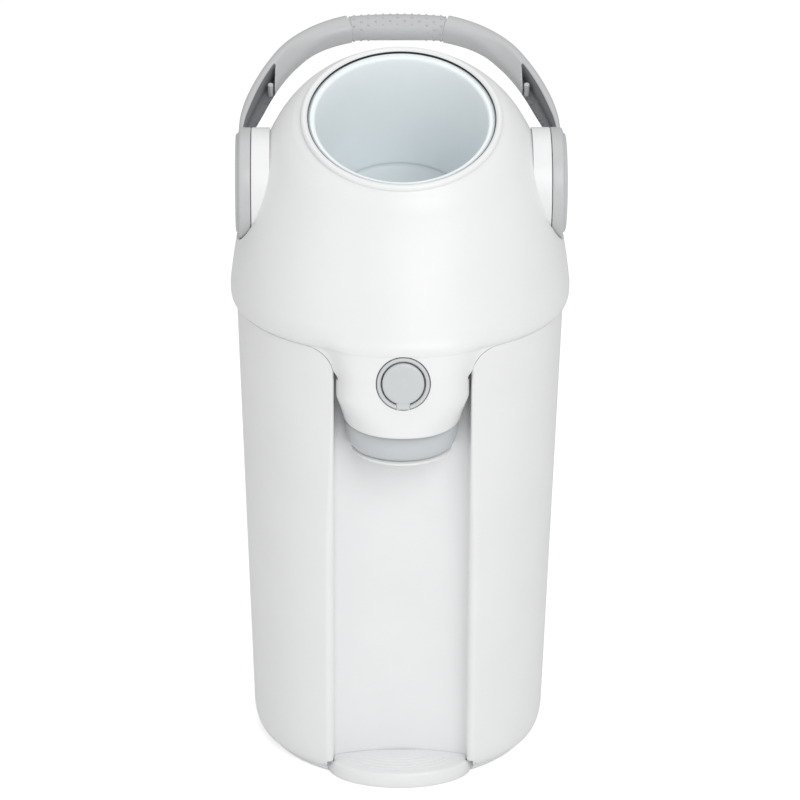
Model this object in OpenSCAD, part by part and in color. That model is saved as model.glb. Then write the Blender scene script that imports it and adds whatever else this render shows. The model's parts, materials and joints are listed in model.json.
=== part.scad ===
// Nappy bin: a tall round bin with a hinged dome lid. A ball valve in the dome is
// turned over by the carrying handle, and a free piston inside the ball pushes each
// nappy down into the bin. Origin: centre of the base on the floor. Front is -Y.

/* [Body] */
// Outer radius of the body at the seam under the dome
body_top_r = 159; // [156:0.5:160]
// Outer radius of the body where the rounded foot ends
body_low_r = 145.3; // [142:0.5:150]
// Radius of the base plate
base_r = 132.5; // [125:0.5:134]
// Height of the seam between body and dome
seam_z = 460; // [450:1:462]
// Wall thickness of the body and the dome
wall = 3; // [2.5:0.1:3.2]

/* [Recess and foot plate] */
// Half width of the recess down the front of the body
recess_half_w = 66; // [64:0.5:67]
// Distance from the body's axis to the middle of the recess wall
recess_y = 94.4; // [92:0.2:96]
// Radius of the hollow recess wall
recess_wall_r = 176; // [170:1:190]
// Half width of the foot plate
foot_half_w = 71.7; // [70:0.1:72]
// Height of the foot plate
foot_h = 16; // [14:0.5:20]
// Reach of the foot plate in front of the body's axis
foot_reach = 150; // [146:0.5:154]

/* [Dome] */
// Height of the handle's pivot axis
pivot_z = 578; // [576:0.5:580]
// Forward tilt of the opening
tilt = 27; // [26:0.5:28]
// Distance from the pivot to the plane of the opening
rim_h = 91; // [90:0.2:92]
// Radius of the rounded rim around the opening
rim_r = 96; // [95:0.2:97]
// Radius of the opening
opening_r = 89.5; // [89:0.1:90]
// Widest radius of the dome, at its shoulder
shoulder_r = 165; // [164:0.2:166]

/* [Ball and piston] */
// Radius of the ball
ball_r = 124; // [123:0.1:124.5]
// Inner radius of the tube through the ball
tube_r = 80; // [76:0.5:81]
// Clearance between the piston and the tube
piston_gap = 0.4; // [0.3:0.05:0.8]
// Height of the piston's side wall
piston_h = 26; // [20:1:32]

/* [Handle] */
// Distance from the pivot axis to the middle of the grip
grip_reach = 218; // [216:0.5:220]
// Length of the grip sleeve
grip_len = 98; // [80:1:100]
// Radius of the grip sleeve
grip_r = 13.6; // [13:0.1:14]
// Radius of the round hubs that carry the handle
hub_r = 53.5; // [52:0.1:54]

/* [Tab, button and latch] */
// Height of the tab's lower edge
tab_low_z = 384; // [382:1:388]
// Half width of the tab at its lower edge
tab_half_w = 56.5; // [55:0.5:58]
// Reach of the tab's lower edge in front of the axis
tab_reach = 181; // [179:0.5:183]
// Height of the middle of the button
button_z = 437; // [436:0.5:438]
// Radius of the button's outer ring
bezel_r = 25.5; // [24:0.1:26]
// Radius of the button's disc
button_r = 19.8; // [18.5:0.1:20.5]

/* [Hidden] */

white = [0.93, 0.93, 0.93];
drum_white = [0.85, 0.89, 0.91];
light_grey = [0.70, 0.71, 0.71];
button_grey = [0.76, 0.77, 0.77];
rubber_grey = [0.42, 0.43, 0.44];
steel = [0.72, 0.73, 0.75];
hidden_white = [0.88, 0.89, 0.89];

round_fn = 96;
small_fn = 32;
// Gap between faces on different bodies that never touch
gap = 0.3;
far = 400;

// Body profile heights
foot_z = 8;
tuck_z = 35;
foot_step_r = base_r + 3.5;

// Pivot boss, hub and handle stations along X
boss_x = 143.7;
hub_x = 144.3;
hub_face_x = 156;
cap_face_x = 159;
pocket_r = hub_r + 1.5;
ball_boss_x = 126.5;
shaft_r = 15;
bush_r = 19;
screw_r = 3;
// Shanks of the small screws and the holes they bite into
thread_r = 1.5;
pilot_r = 1.6;

// Hinge at the back of the rim
hinge_y = 171;
hinge_z = 453;
knuckle_r = 6;
hinge_pin_r = 2.5;

// Latch geometry
latch_y = -146;
latch_z = 415;
latch_pin_r = 2;
keeper_y = -139;
keeper_z = 376;
catch_top_z = 380;
tab_top_z = seam_z + 20;
// Where the tab's sides meet the webs beside them
tab_mid_z = 443;
tab_mid_half_w = recess_half_w - 1.5;
tab_slope = atan((tab_reach - shoulder_r) / (tab_top_z - tab_low_z));
button_y = -shoulder_r - (tab_top_z - button_z) * tan(tab_slope);

// Cubic curve through the plane
function curve(p0, p1, p2, p3, t) =
    pow(1 - t, 3) * p0 + 3 * pow(1 - t, 2) * t * p1 + 3 * (1 - t) * t * t * p2
    + pow(t, 3) * p3;

// Points of a half ellipse that bulges to the front from the line y = back_y.
// A power above 2 makes it squarer.
function front_ellipse(half_w, reach, back_y, power = 2, steps = 16) =
    [for (i = [0:steps]) let (a = 180 * i / steps)
        [-half_w * sign(cos(a)) * pow(abs(cos(a)), 2 / power),
         back_y - (reach + back_y) * pow(abs(sin(a)), 2 / power)]];

// Moves children into the frame of the tilted tube: origin at the pivot, Z along the tube
module tilted() {
    translate([0, 0, pivot_z]) rotate([tilt, 0, 0]) children();
}

// Repeats children on both sides
module both_sides() {
    children();
    mirror([1, 0, 0]) children();
}

// A straight round bar along X from x0 to x1
module bar_x(r, x0, x1, y, z, fn = small_fn) {
    translate([x0, y, z]) rotate([0, 90, 0]) cylinder(r = r, h = x1 - x0, $fn = fn);
}

// Plan of the recess, grown by d
module recess_plan(d = 0, half_w = recess_half_w) {
    intersection() {
        translate([0, -recess_y - recess_wall_r])
            circle(r = recess_wall_r + d, $fn = round_fn);
        translate([-half_w - d, -far]) square([2 * (half_w + d), far]);
    }
}

// Plan of the space inside the rim, shrunk by k
module rim_plan(k) {
    difference() {
        circle(r = body_top_r - wall - k, $fn = round_fn);
        recess_plan(wall + k);
    }
}

// Solid of revolution of the body's outside
module body_outside() {
    tuck = [for (a = [0:15:90])
        [foot_step_r + (body_low_r - foot_step_r) * sin(a),
         tuck_z - (tuck_z - foot_z) * cos(a)]];
    rotate_extrude($fn = round_fn)
        polygon(concat([[0, foot_z]], tuck, [[body_top_r, seam_z], [0, seam_z]]));
}

// Solid of revolution of the body's inside
module body_inside() {
    rotate_extrude($fn = round_fn)
        polygon([[0, foot_z + wall], [foot_step_r - wall - 2, foot_z + wall],
                 [body_low_r - wall, tuck_z + wall], [body_top_r - wall, seam_z],
                 [body_top_r - wall, seam_z + 1], [0, seam_z + 1]]);
}

// Rounds the body's upper corners beside the tab
shoulder_cut_r = 28;
shoulder_cut_x = recess_half_w + shoulder_cut_r;
shoulder_cut_z = seam_z - shoulder_cut_r;

module corner_fillet(d = 0) {
    rotate([90, 0, 0]) linear_extrude(far) difference() {
        translate([recess_half_w - 12, shoulder_cut_z])
            square([shoulder_cut_r + 12, shoulder_cut_r + 1]);
        translate([shoulder_cut_x, shoulder_cut_z])
            circle(r = shoulder_cut_r - d, $fn = round_fn);
    }
}

// Places of the screws that hold the foot plate from below, and of the catch's screws
foot_screw_x = [-26, 26];
foot_screw_y = -84;
catch_screw_x = [-20, 20];
catch_screw_z = 366;

module body_shell() {
    color(white) difference() {
        union() {
            difference() {
                body_outside();
                difference() {
                    body_inside();
                    linear_extrude(seam_z) recess_plan(wall);
                    linear_extrude(foot_h + gap + wall) recess_plan(wall, foot_half_w);
                }
            }
            catch_shelf();
            for (x = foot_screw_x) translate([x, foot_screw_y, foot_z + wall - 0.5])
                cylinder(r = 5, h = 12, $fn = small_fn);
        }
        difference() {
            union() {
                translate([0, 0, -1]) linear_extrude(seam_z + 2) recess_plan(0);
                linear_extrude(foot_h + gap) recess_plan(0, foot_half_w + gap);
            }
            catch_shelf();
        }
        at_body_hinge_screws(0) cylinder(r = pilot_r, h = 40, $fn = small_fn);
        both_sides() intersection() {
            corner_fillet(0);
            translate([0, 0, -1]) cylinder(r = far, h = far * 2);
            translate([0, -far - 120, 0]) cube([far, far, far * 2]);
        }
        for (x = foot_screw_x) translate([x, foot_screw_y, -1])
            cylinder(r = pilot_r, h = foot_z + 14, $fn = small_fn);
        for (x = catch_screw_x) translate([x, -80, catch_screw_z]) rotate([90, 0, 0])
            cylinder(r = 2.1, h = 30, $fn = small_fn);
        at_base_screws() cylinder(r = pilot_r, h = foot_z + 20, $fn = small_fn);
    }
}

// Thin shelf on the recess wall, under the catch housing
shelf_z = 348.4;
shelf_t = 2.5;
shelf_half_w = 48.5;
shelf_reach = 161;

module catch_shelf() {
    translate([0, 0, shelf_z]) linear_extrude(shelf_t)
        polygon(concat(front_ellipse(shelf_half_w, shelf_reach, -108),
                       [[shelf_half_w, -96], [-shelf_half_w, -96]]));
}

pad_angles = [90, 0, 180, -42, 222];
pad_place_r = 112;
pad_r = 9;
pad_h = 2.5;

module at_base_screws() {
    for (a = [30, 150, 210, 330]) rotate([0, 0, a]) translate([110, 0, 0]) children();
}

module base_plate() {
    color(white) difference() {
        rotate_extrude($fn = round_fn)
            polygon([[0, 0], [base_r - 2.5, 0], [base_r, 2.5], [base_r, foot_z], [0, foot_z]]);
        translate([0, 0, -1]) linear_extrude(foot_z + 2) recess_plan(0, foot_half_w + gap);
        translate([-40.5, -96, 2]) cube([81, 22, foot_z]);
        for (a = pad_angles) rotate([0, 0, a]) translate([pad_place_r, 0, -1])
            cylinder(r = pad_r + 0.1, h = pad_h + 1, $fn = small_fn);
        for (x = foot_screw_x) translate([x, foot_screw_y, -1])
            cylinder(r = 4, h = foot_z, $fn = small_fn);
        at_base_screws() {
            translate([0, 0, -1]) cylinder(r = 3.3, h = 4, $fn = small_fn);
            translate([0, 0, -1]) cylinder(r = pilot_r, h = foot_z + 2, $fn = small_fn);
        }
    }
}

module anti_slip_pads() {
    color(rubber_grey) for (a = pad_angles) rotate([0, 0, a])
        translate([pad_place_r, 0, 0]) cylinder(r = pad_r, h = pad_h, $fn = small_fn);
}

// Outline of the foot plate, drawn in by d
module foot_outline(d) {
    polygon(concat(front_ellipse(foot_half_w - d, foot_reach - d, -100),
                   [[foot_half_w - d, -90], [-foot_half_w + d, -90]]));
}

module foot_plate() {
    edge = 3;
    color(white) difference() {
        union() {
            intersection() {
                union() {
                    linear_extrude(foot_h - edge) foot_outline(0);
                    translate([0, 0, foot_h - edge]) linear_extrude(edge / 2)
                        foot_outline(0.9);
                    translate([0, 0, foot_h - edge / 2]) linear_extrude(edge / 2)
                        foot_outline(edge);
                }
                linear_extrude(foot_h) recess_plan(-gap, foot_half_w + gap);
            }
            foot_ridges();
            translate([-40, -96, 2.3]) cube([80, 19, foot_z - 2.3]);
        }
        for (x = foot_screw_x) translate([x, foot_screw_y, 0])
            cylinder(r = 1.7, h = foot_z + 1, $fn = small_fn);
    }
}

// Grip ridges on top of the foot plate
module foot_ridges() {
    intersection() {
        for (r = [54:6:78]) translate([0, -61, foot_h - 0.5]) difference() {
            cylinder(r = r + 1.2, h = 1.3, $fn = round_fn);
            translate([0, 0, -1]) cylinder(r = r - 1.2, h = 4, $fn = round_fn);
        }
        translate([-62, -far - 108, 0]) cube([124, far, 40]);
    }
}

module foot_plate_screws() {
    color(steel) for (x = foot_screw_x) translate([x, foot_screw_y, 0]) {
        cylinder(r = thread_r, h = foot_z + 8, $fn = small_fn);
        translate([0, 0, 0.3]) cylinder(r = 3, h = 1.9, $fn = small_fn);
    }
}

module base_screws() {
    color(steel) at_base_screws() {
        translate([0, 0, 1]) cylinder(r = thread_r, h = foot_z + wall - 1.2, $fn = small_fn);
        translate([0, 0, 0.8]) cylinder(r = 3, h = 2.1, $fn = small_fn);
    }
}

// Plan of the catch housing
module catch_plan(half_w, reach) {
    polygon(concat(front_ellipse(half_w, reach, -110.5), [[half_w, -95], [-half_w, -95]]));
}

module catch_housing() {
    low = shelf_z + shelf_t + gap;
    color(light_grey) difference() {
        intersection() {
            hull() {
                translate([0, 0, low]) linear_extrude(1) catch_plan(45.5, 157);
                translate([0, 0, low + 8]) linear_extrude(1) catch_plan(52.5, 165);
                translate([0, 0, catch_top_z - 1]) linear_extrude(1) catch_plan(55.5, 168.5);
            }
            linear_extrude(far) recess_plan(0);
        }
        translate([-18, -158.5, low + 9]) cube([36, 34, 60]);
        bar_x(latch_pin_r + 0.03, -28, 28, keeper_y, keeper_z);
        for (x = catch_screw_x) translate([x, -90, catch_screw_z]) rotate([90, 0, 0])
            cylinder(r = 1.55, h = 30, $fn = small_fn);
    }
}

module keeper_pin() {
    color(steel) bar_x(latch_pin_r, -27.5, 27.5, keeper_y, keeper_z);
}

module catch_screws() {
    color(steel) for (x = catch_screw_x) translate([x, -91.2, catch_screw_z]) {
        rotate([90, 0, 0]) cylinder(r = thread_r, h = 24, $fn = small_fn);
        rotate([-90, 0, 0]) cylinder(r = 4, h = 2.5, $fn = small_fn);
    }
}

// Hinge: the body carries the two outer knuckles, the lid the two inner ones
body_knuckle_x = [-52, 34];
lid_knuckle_x = [-33.7, 15.7];
knuckle_w = 18;

module body_hinge_bracket() {
    color(white) difference() {
        union() {
            for (x = body_knuckle_x) {
                bar_x(knuckle_r, x, x + knuckle_w, hinge_y, hinge_z);
                translate([x, 155, hinge_z - knuckle_r])
                    cube([knuckle_w, hinge_y - 155, 8]);
            }
            translate([-56, 150, 418]) cube([112, 12, 33]);
        }
        body_outside();
        bar_x(hinge_pin_r + 0.05, -80, 80, hinge_y, hinge_z);
        at_body_hinge_screws(0) cylinder(r = pilot_r, h = 40, $fn = small_fn);
    }
}

// Places of the hinge's screws, Z pointing outwards, with the origin at height y = y0
module at_body_hinge_screws(y0) {
    for (x = [-42, -14, 14, 42]) translate([x, y0 + 145, 428]) rotate([-90, 0, 0])
        children();
}

module at_lid_hinge_screws(y0) {
    for (x = [-28, 28]) translate([x, y0 + 145, 480]) rotate([-90, 0, 0]) children();
}

module body_hinge_screws() {
    color(steel) at_body_hinge_screws(0) {
        translate([0, 0, 3]) cylinder(r = thread_r, h = 15, $fn = small_fn);
        translate([0, 0, 17.1]) cylinder(r = 3, h = 2, $fn = small_fn);
    }
}

module lid_hinge_screws() {
    color(steel) at_lid_hinge_screws(0) {
        translate([0, 0, 10]) cylinder(r = thread_r, h = 23, $fn = small_fn);
        translate([0, 0, 32.1]) cylinder(r = 3, h = 2, $fn = small_fn);
    }
}

module hinge_pin() {
    color(steel) bar_x(hinge_pin_r, -51, 51, hinge_y, hinge_z);
}

module lid_hinge_bracket() {
    color(white) difference() {
        union() {
            for (x = lid_knuckle_x) {
                bar_x(knuckle_r, x, x + knuckle_w, hinge_y, hinge_z);
                translate([x, hinge_y - 4, hinge_z]) cube([knuckle_w, 10, 26]);
            }
            translate([-36, 150, 470]) cube([72, 27, 18]);
        }
        bar_x(hinge_pin_r + 0.05, -80, 80, hinge_y, hinge_z);
        translate([0, 0, 400]) cylinder(r = shoulder_r + 0.25, h = 100, $fn = round_fn);
        at_lid_hinge_screws(0) cylinder(r = pilot_r, h = 60, $fn = small_fn);
    }
}

// Section k of the dome: front point, back point and half width, drawn in by d
dome_steps = 8;
rim_centre = [-rim_h * sin(tilt), pivot_z + rim_h * cos(tilt)];
rim_dir = [cos(tilt), sin(tilt)];
function rim_front(d) = rim_centre - [-d * sin(tilt), d * cos(tilt)] - (rim_r - d) * rim_dir;
function rim_back(d) = rim_centre - [-d * sin(tilt), d * cos(tilt)] + (rim_r - d) * rim_dir;
function dome_front(t, d) = curve([-shoulder_r + d, seam_z + 20], [-141 + d, seam_z + 98],
    rim_front(d) + [-2, -23], rim_front(d), t);
function dome_back(t, d) = curve([shoulder_r - d, seam_z + 20], [163 - d, seam_z + 120],
    rim_back(d) + [50 - d / 2, -4], rim_back(d), t);
function dome_half(t, d) = curve([shoulder_r], [shoulder_r - 9.5], [126], [rim_r], t)[0] - d;

function dome_ring(t, d, n) = let (f = dome_front(t, d), b = dome_back(t, d))
    [for (i = [0:n - 1]) let (a = 360 * i / n, m = (f + b) / 2, h = (b - f) / 2)
        [dome_half(t, d) * sin(a), m[0] + h[0] * cos(a), m[1] + h[1] * cos(a)]];
function flat_ring(r, z, n) = [for (i = [0:n - 1]) let (a = 360 * i / n)
    [r * sin(a), r * cos(a), z]];

// Closed skin over a stack of rings of n points each
module skin(rings, n) {
    m = len(rings);
    polyhedron(
        points = [for (ring = rings) each ring],
        faces = concat(
            [[for (i = [n - 1:-1:0]) i]],
            [for (k = [0:m - 2], i = [0:n - 1]) let (j = (i + 1) % n)
                [k * n + i, (k + 1) * n + j, (k + 1) * n + i]],
            [for (k = [0:m - 2], i = [0:n - 1]) let (j = (i + 1) % n)
                [k * n + i, k * n + j, (k + 1) * n + j]],
            [[for (i = [0:n - 1]) (m - 1) * n + i]]));
}

dome_n = 48;

module dome_outside() {
    skin(concat([flat_ring(body_top_r + 0.4, seam_z + gap, dome_n),
                 flat_ring(shoulder_r - 2, seam_z + 6, dome_n),
                 flat_ring(shoulder_r, seam_z + 13, dome_n)],
                [for (k = [0:dome_steps]) dome_ring(k / dome_steps, 0, dome_n)]), dome_n);
}

module dome_inside() {
    skin(concat([flat_ring(shoulder_r - 5, seam_z + wall + 0.8, dome_n),
                 flat_ring(shoulder_r - 3, seam_z + 13, dome_n)],
                [for (k = [0:dome_steps]) dome_ring(k / dome_steps, wall, dome_n)]), dome_n);
}

// Tab that hangs from the dome's front, drawn in by d
module tab_block(d = 0) {
    top = tab_top_z;
    a_top = 22.5;
    mid_reach = tab_reach - (tab_mid_z - tab_low_z) * tan(tab_slope);
    hull() {
        translate([0, 0, tab_low_z - (d > 0 ? 1 : 0)]) linear_extrude(1)
            polygon(concat(front_ellipse(tab_half_w - d, tab_reach - d, -112),
                           [[tab_half_w - d, -110.5], [-tab_half_w + d, -110.5]]));
        translate([0, 0, tab_mid_z]) linear_extrude(1)
            polygon(concat(front_ellipse(tab_mid_half_w - d, mid_reach - d, -112, 3),
                           [[tab_mid_half_w - d, -110.5], [-tab_mid_half_w + d, -110.5]]));
        translate([0, 0, top - 1 - d]) linear_extrude(1)
            polygon(concat([for (a = [-a_top:a_top / 6:a_top])
                               (shoulder_r + 0.3 - d) * [sin(a), -cos(a)]],
                           [[58 - d, -112], [-58 + d, -112]]));
    }
}

// Webs that carry the tab's sides into the seam, flush with the body
module tab_ears() {
    both_sides() intersection() {
        corner_fillet(-0.6);
        difference() {
            translate([0, 0, tab_mid_z - 2])
                cylinder(r = body_top_r + 0.2, h = far, $fn = round_fn);
            translate([0, 0, -1]) cylinder(r = body_top_r - wall, h = far * 3,
                                           $fn = round_fn);
        }
        translate([0, -far - 122, 0]) cube([far, far, far * 2]);
    }
}

module dome_shell() {
    bulkhead_top = seam_z + 16;
    color(white) difference() {
        union() {
            difference() {
                union() {
                    dome_outside();
                    tab_block();
                    tab_ears();
                }
                difference() {
                    dome_inside();
                    translate([-60, -far, seam_z]) cube([120, far - 137, 19]);
                }
                tab_cavity(bulkhead_top);
            }
            both_sides() intersection() {
                dome_outside();
                bar_x(pocket_r + wall, boss_x - wall, far, 0, pivot_z, round_fn);
            }
            both_sides() bar_x(hub_r, 128, boss_x, 0, pivot_z, round_fn);
            translate([0, 0, seam_z - 6]) linear_extrude(7) difference() {
                rim_plan(rim_gap + gasket_w);
                rim_plan(rim_gap + gasket_w + 2.4);
            }
            cradle_posts();
        }
        both_sides() {
            bar_x(pocket_r, boss_x, far, 0, pivot_z, round_fn);
            difference() {
                bar_x(hub_r - wall, 100, boss_x - wall, 0, pivot_z, round_fn);
                bar_x(bush_r + wall, 128, boss_x, 0, pivot_z, round_fn);
            }
            bar_x(bush_r, 100, boss_x + 1, 0, pivot_z, round_fn);
        }
        translate([0, 0, seam_z - 10]) linear_extrude(16)
            rim_plan(rim_gap + gasket_w + 2.4);
        tilted() cylinder(r = opening_r, h = far, $fn = round_fn);
        button_hole(bezel_r + 0.05);
        at_lid_hinge_screws(0) cylinder(r = pilot_r, h = 60, $fn = small_fn);
        translate([0, 0, seam_z - 30]) for (p = post_places)
            translate([p[0], p[1], 0]) cylinder(r = 1.55, h = 130, $fn = small_fn);
    }
}

// Hollow of the tab: open below and behind
module tab_cavity(top) {
    intersection() {
        tab_block(wall);
        translate([-far, -far, 0]) cube([2 * far, 2 * far, top - 4]);
        union() {
            translate([-far, -far, 0]) cube([2 * far, 2 * far, seam_z - 2.7]);
            translate([-40, -far, 0]) cube([80, far - 141, far * 2]);
        }
    }
    translate([-52, -112, 0]) cube([104, 10, seam_z - 2.7]);
}

// Posts inside the dome for the cradle's screws
post_places = [for (a = [42, 138, 222, 318]) 133 * [cos(a), sin(a)]];

module cradle_posts() {
    intersection() {
        dome_outside();
        for (p = post_places) translate([p[0], p[1], 543])
            cylinder(r = 5, h = 60, $fn = small_fn);
    }
}

// Bore along the button's axis
module button_hole(r) {
    translate([0, button_y, button_z]) rotate([90 - tab_slope, 0, 0])
        translate([0, 0, -12]) cylinder(r = r, h = 40, $fn = round_fn);
}

// Room that lets the gasket swing past the rim as the lid opens
rim_gap = 2.1;
gasket_w = 2.4;

module lid_gasket() {
    color(rubber_grey) translate([0, 0, seam_z - 6]) linear_extrude(6) difference() {
        rim_plan(rim_gap);
        rim_plan(rim_gap + gasket_w);
    }
}

// Thin band on a sphere about the pivot, between two heights along the tube
module ball_band(r0, r1, h0, h1) {
    rotate_extrude($fn = round_fn) intersection() {
        difference() {
            circle(r = r1, $fn = round_fn);
            circle(r = r0, $fn = round_fn);
        }
        translate([0, h0]) square([far, h1 - h0]);
    }
}

// Height on a sphere of radius r about the pivot, as a point of the turned profile
function on_sphere(r, h) = [sqrt(r * r - h * h), h];

// Seal under the lip, with a wiper that bridges the gap between the opening and the ball
module upper_seal() {
    out_r = opening_r - gap;
    color(rubber_grey) tilted() rotate_extrude($fn = round_fn)
        polygon(concat([for (h = [78:2:86]) on_sphere(ball_r + gap, h)],
                       [[87.8, 88.3], [88, 88.7], [out_r, 89.1], [out_r, 86.5]],
                       [for (h = [86:-2:78]) on_sphere(ball_r + 2.6, h)]));
}

module lower_seal() {
    color(rubber_grey) tilted() mirror([0, 0, 1])
        ball_band(ball_r + gap, ball_r + 1.8, 78, 86.5);
}

cradle_in_r = ball_r + 2;
cradle_out_r = cradle_in_r + 2.5;

module ball_cradle() {
    color(hidden_white) difference() {
        union() {
            translate([0, 0, pivot_z]) mirror([0, 0, 1])
                ball_band(cradle_in_r, cradle_out_r, 35, far);
            translate([0, 0, pivot_z - 38]) difference() {
                cylinder(r = 139.5, h = 3, $fn = round_fn);
                translate([0, 0, -1]) cylinder(r = 122.5, h = 5, $fn = round_fn);
            }
        }
        tilted() translate([0, 0, -far]) cylinder(r = 90.5, h = far, $fn = round_fn);
        both_sides() bar_x(hub_r + 1.5, 126.5, 200, 0, pivot_z, round_fn);
        for (p = post_places) translate([p[0], p[1], pivot_z - 60])
            cylinder(r = 1.7, h = 60, $fn = small_fn);
    }
}

module cradle_screws() {
    color(steel) for (p = post_places) translate([p[0], p[1], pivot_z - 38]) {
        translate([0, 0, -2.2]) cylinder(r = 3.5, h = 2.2, $fn = small_fn);
        translate([0, 0, -1]) cylinder(r = thread_r, h = 16, $fn = small_fn);
    }
}

module bush() {
    difference() {
        union() {
            bar_x(bush_r - 0.05, 130, boss_x, 0, pivot_z, round_fn);
            bar_x(bush_r + 2.5, 127.4, 128, 0, pivot_z, round_fn);
            bar_x(bush_r - 0.05, 127.4, 131, 0, pivot_z, round_fn);
        }
        bar_x(shaft_r + 0.06, 100, 200, 0, pivot_z, round_fn);
    }
}

module right_bush() {
    color(hidden_white) bush();
}

module left_bush() {
    color(hidden_white) mirror([1, 0, 0]) bush();
}

// Moves children to the button's face: origin on the face, Z outwards
module at_button() {
    translate([0, button_y, button_z]) rotate([90 - tab_slope, 0, 0]) children();
}

// Half width of the neck under the button, and its hinge line in the button's frame
neck_half_w = 6.5;
neck_y = -22;
neck_z = -1;

module button_bezel() {
    color(button_grey) at_button() difference() {
        rotate_extrude($fn = round_fn)
            polygon([[button_r + 1.2, -7], [bezel_r, -7], [bezel_r, 0.8],
                     [bezel_r - 1, 1.8], [button_r + 3.2, 1.8], [button_r + 1.2, 0.4]]);
        translate([-neck_half_w - gap, -40, -4]) cube([2 * (neck_half_w + gap), 30, 20]);
    }
}

// Button disc with the neck that joins it to its frame below
module release_button() {
    color(button_grey) at_button() {
        rotate_extrude($fn = round_fn)
            polygon([[0, -3.5], [button_r, -3.5], [button_r, 0.6], [button_r - 1.6, 1.6],
                     [0, 2.2]]);
        translate([0, 4, -11]) cylinder(r = 5, h = 8, $fn = small_fn);
        translate([-neck_half_w, neck_y - 2.6, neck_z]) cube([2 * neck_half_w, 6.6, 2]);
        bar_x(1.5, -neck_half_w, neck_half_w, neck_y, neck_z);
    }
}

module latch_bracket() {
    color(hidden_white) difference() {
        union() {
            both_sides() translate([8, latch_y - 9, latch_z - 8]) cube([4, 26, 24]);
            intersection() {
                translate([-80, latch_y + 13, latch_z - 8]) cube([160, 4, 24]);
                tab_block(wall);
            }
        }
        bar_x(latch_pin_r + 0.02, -20, 20, latch_y, latch_z);
    }
}

module latch_pin() {
    color(steel) bar_x(latch_pin_r, -12, 12, latch_y, latch_z);
}

module latch_lever() {
    color(light_grey) difference() {
        translate([-7, 0, 0]) rotate([90, 0, 90]) union() {
            translate([latch_y, latch_z, 0]) cylinder(r = 5.5, h = 14, $fn = small_fn);
            linear_extrude(14)
                polygon([[latch_y - 4, latch_z], [latch_y - 13.5, button_z - 6],
                         [latch_y - 13.5, button_z + 7], [latch_y - 9.5, button_z + 7],
                         [latch_y + 4, latch_z]]);
            linear_extrude(14)
                polygon([[latch_y - 4, latch_z + 2], [latch_y - 5, keeper_z - 9],
                         [keeper_y + 3, keeper_z - 9], [keeper_y + 3, keeper_z - 2.4],
                         [latch_y, keeper_z - 2.4], [latch_y + 4, latch_z + 2]]);
        }
        bar_x(latch_pin_r + 0.05, -20, 20, latch_y, latch_z);
        bar_x(5.8, 2.5, 8, latch_y, latch_z);
    }
}

// Torsion spring round the latch pin: one leg lies on the lever, one on the bracket
module latch_spring() {
    wire_r = 0.6;
    legs = [[latch_y - 3.7, latch_z + 18.5], [latch_y + 3.46, latch_z + 3.06],
            [latch_y + 3.3, latch_z - 0.8], [latch_y + 12, latch_z - 7]];
    color(steel) difference() {
        union() {
            bar_x(4.2, 3, 6.8, latch_y, latch_z);
            for (i = [0:2]) hull() {
                bar_x(wire_r, 4.3, 5.5, legs[i][0], legs[i][1], 16);
                bar_x(wire_r, 4.3, 5.5, legs[i + 1][0], legs[i + 1][1], 16);
            }
        }
        bar_x(2.6, 0, 10, latch_y, latch_z);
    }
}

tube_out_r = tube_r + 2.5;
// Height of the stops that keep the piston in the tube
stop_h = 79.8;
flange_r = 87;
flange_h = 87.5;
seat_h = 84;

// Half of the ball on the +X side
module ball_half() {
    difference() {
        union() {
            difference() {
                intersection() {
                    translate([0, 0, pivot_z]) sphere(r = ball_r, $fn = round_fn);
                    translate([0, -far, 0]) cube([far, 2 * far, far * 3]);
                }
                translate([0, 0, pivot_z]) sphere(r = ball_r - 2.5, $fn = round_fn);
            }
            intersection() {
                translate([0, 0, pivot_z]) sphere(r = ball_r - 1, $fn = round_fn);
                translate([0, -far, 0]) cube([far, 2 * far, far * 3]);
                tilted() for (s = [-1, 1]) translate([0, 0, s * (seat_h - 1.25) - 1.25])
                    cylinder(r = 94, h = 2.5, $fn = round_fn);
            }
            bar_x(22, 106, ball_boss_x, 0, pivot_z, round_fn);
        }
        tilted() translate([0, 0, -far]) cylinder(r = tube_out_r, h = 2 * far,
                                                  $fn = round_fn);
        tilted() for (s = [-1, 1]) translate([0, 0, s * 150 - 66])
            cylinder(r = flange_r + 0.2, h = 132, $fn = round_fn);
        bar_x(screw_r + 0.05, 100, 140, 0, pivot_z);
    }
}

module ball_right_half() {
    color(drum_white) ball_half();
}

module ball_left_half() {
    color(drum_white) mirror([1, 0, 0]) ball_half();
}

module drum_tube() {
    lip = [for (a = [0:15:90]) [tube_r - 2.4 + 6 * (1 - cos(a)), flange_h - 5 + 5 * sin(a)]];
    half = concat([[tube_r, stop_h], [tube_r - 2.4, stop_h + 0.6]], lip,
                  [[flange_r - 0.8, flange_h], [flange_r, flange_h - 0.8],
                   [flange_r, seat_h], [tube_out_r, seat_h]]);
    other = [for (i = [len(half) - 1:-1:0]) [half[i][0], -half[i][1]]];
    color(drum_white) tilted() rotate_extrude($fn = round_fn)
        polygon(concat(half, other));
}

module trunnion() {
    difference() {
        union() {
            bar_x(shaft_r, ball_boss_x, hub_x, 0, pivot_z, round_fn);
            translate([hub_x, -10, pivot_z - 10]) cube([8, 20, 20]);
        }
        bar_x(screw_r + 0.05, 100, 200, 0, pivot_z);
    }
}

module right_trunnion() {
    color(hidden_white) trunnion();
}

module left_trunnion() {
    color(hidden_white) mirror([1, 0, 0]) trunnion();
}

module trunnion_screws() {
    color(steel) both_sides() {
        bar_x(screw_r, 108, 153, 0, pivot_z);
        bar_x(6, 152.3, 155.7, 0, pivot_z);
    }
}

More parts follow.
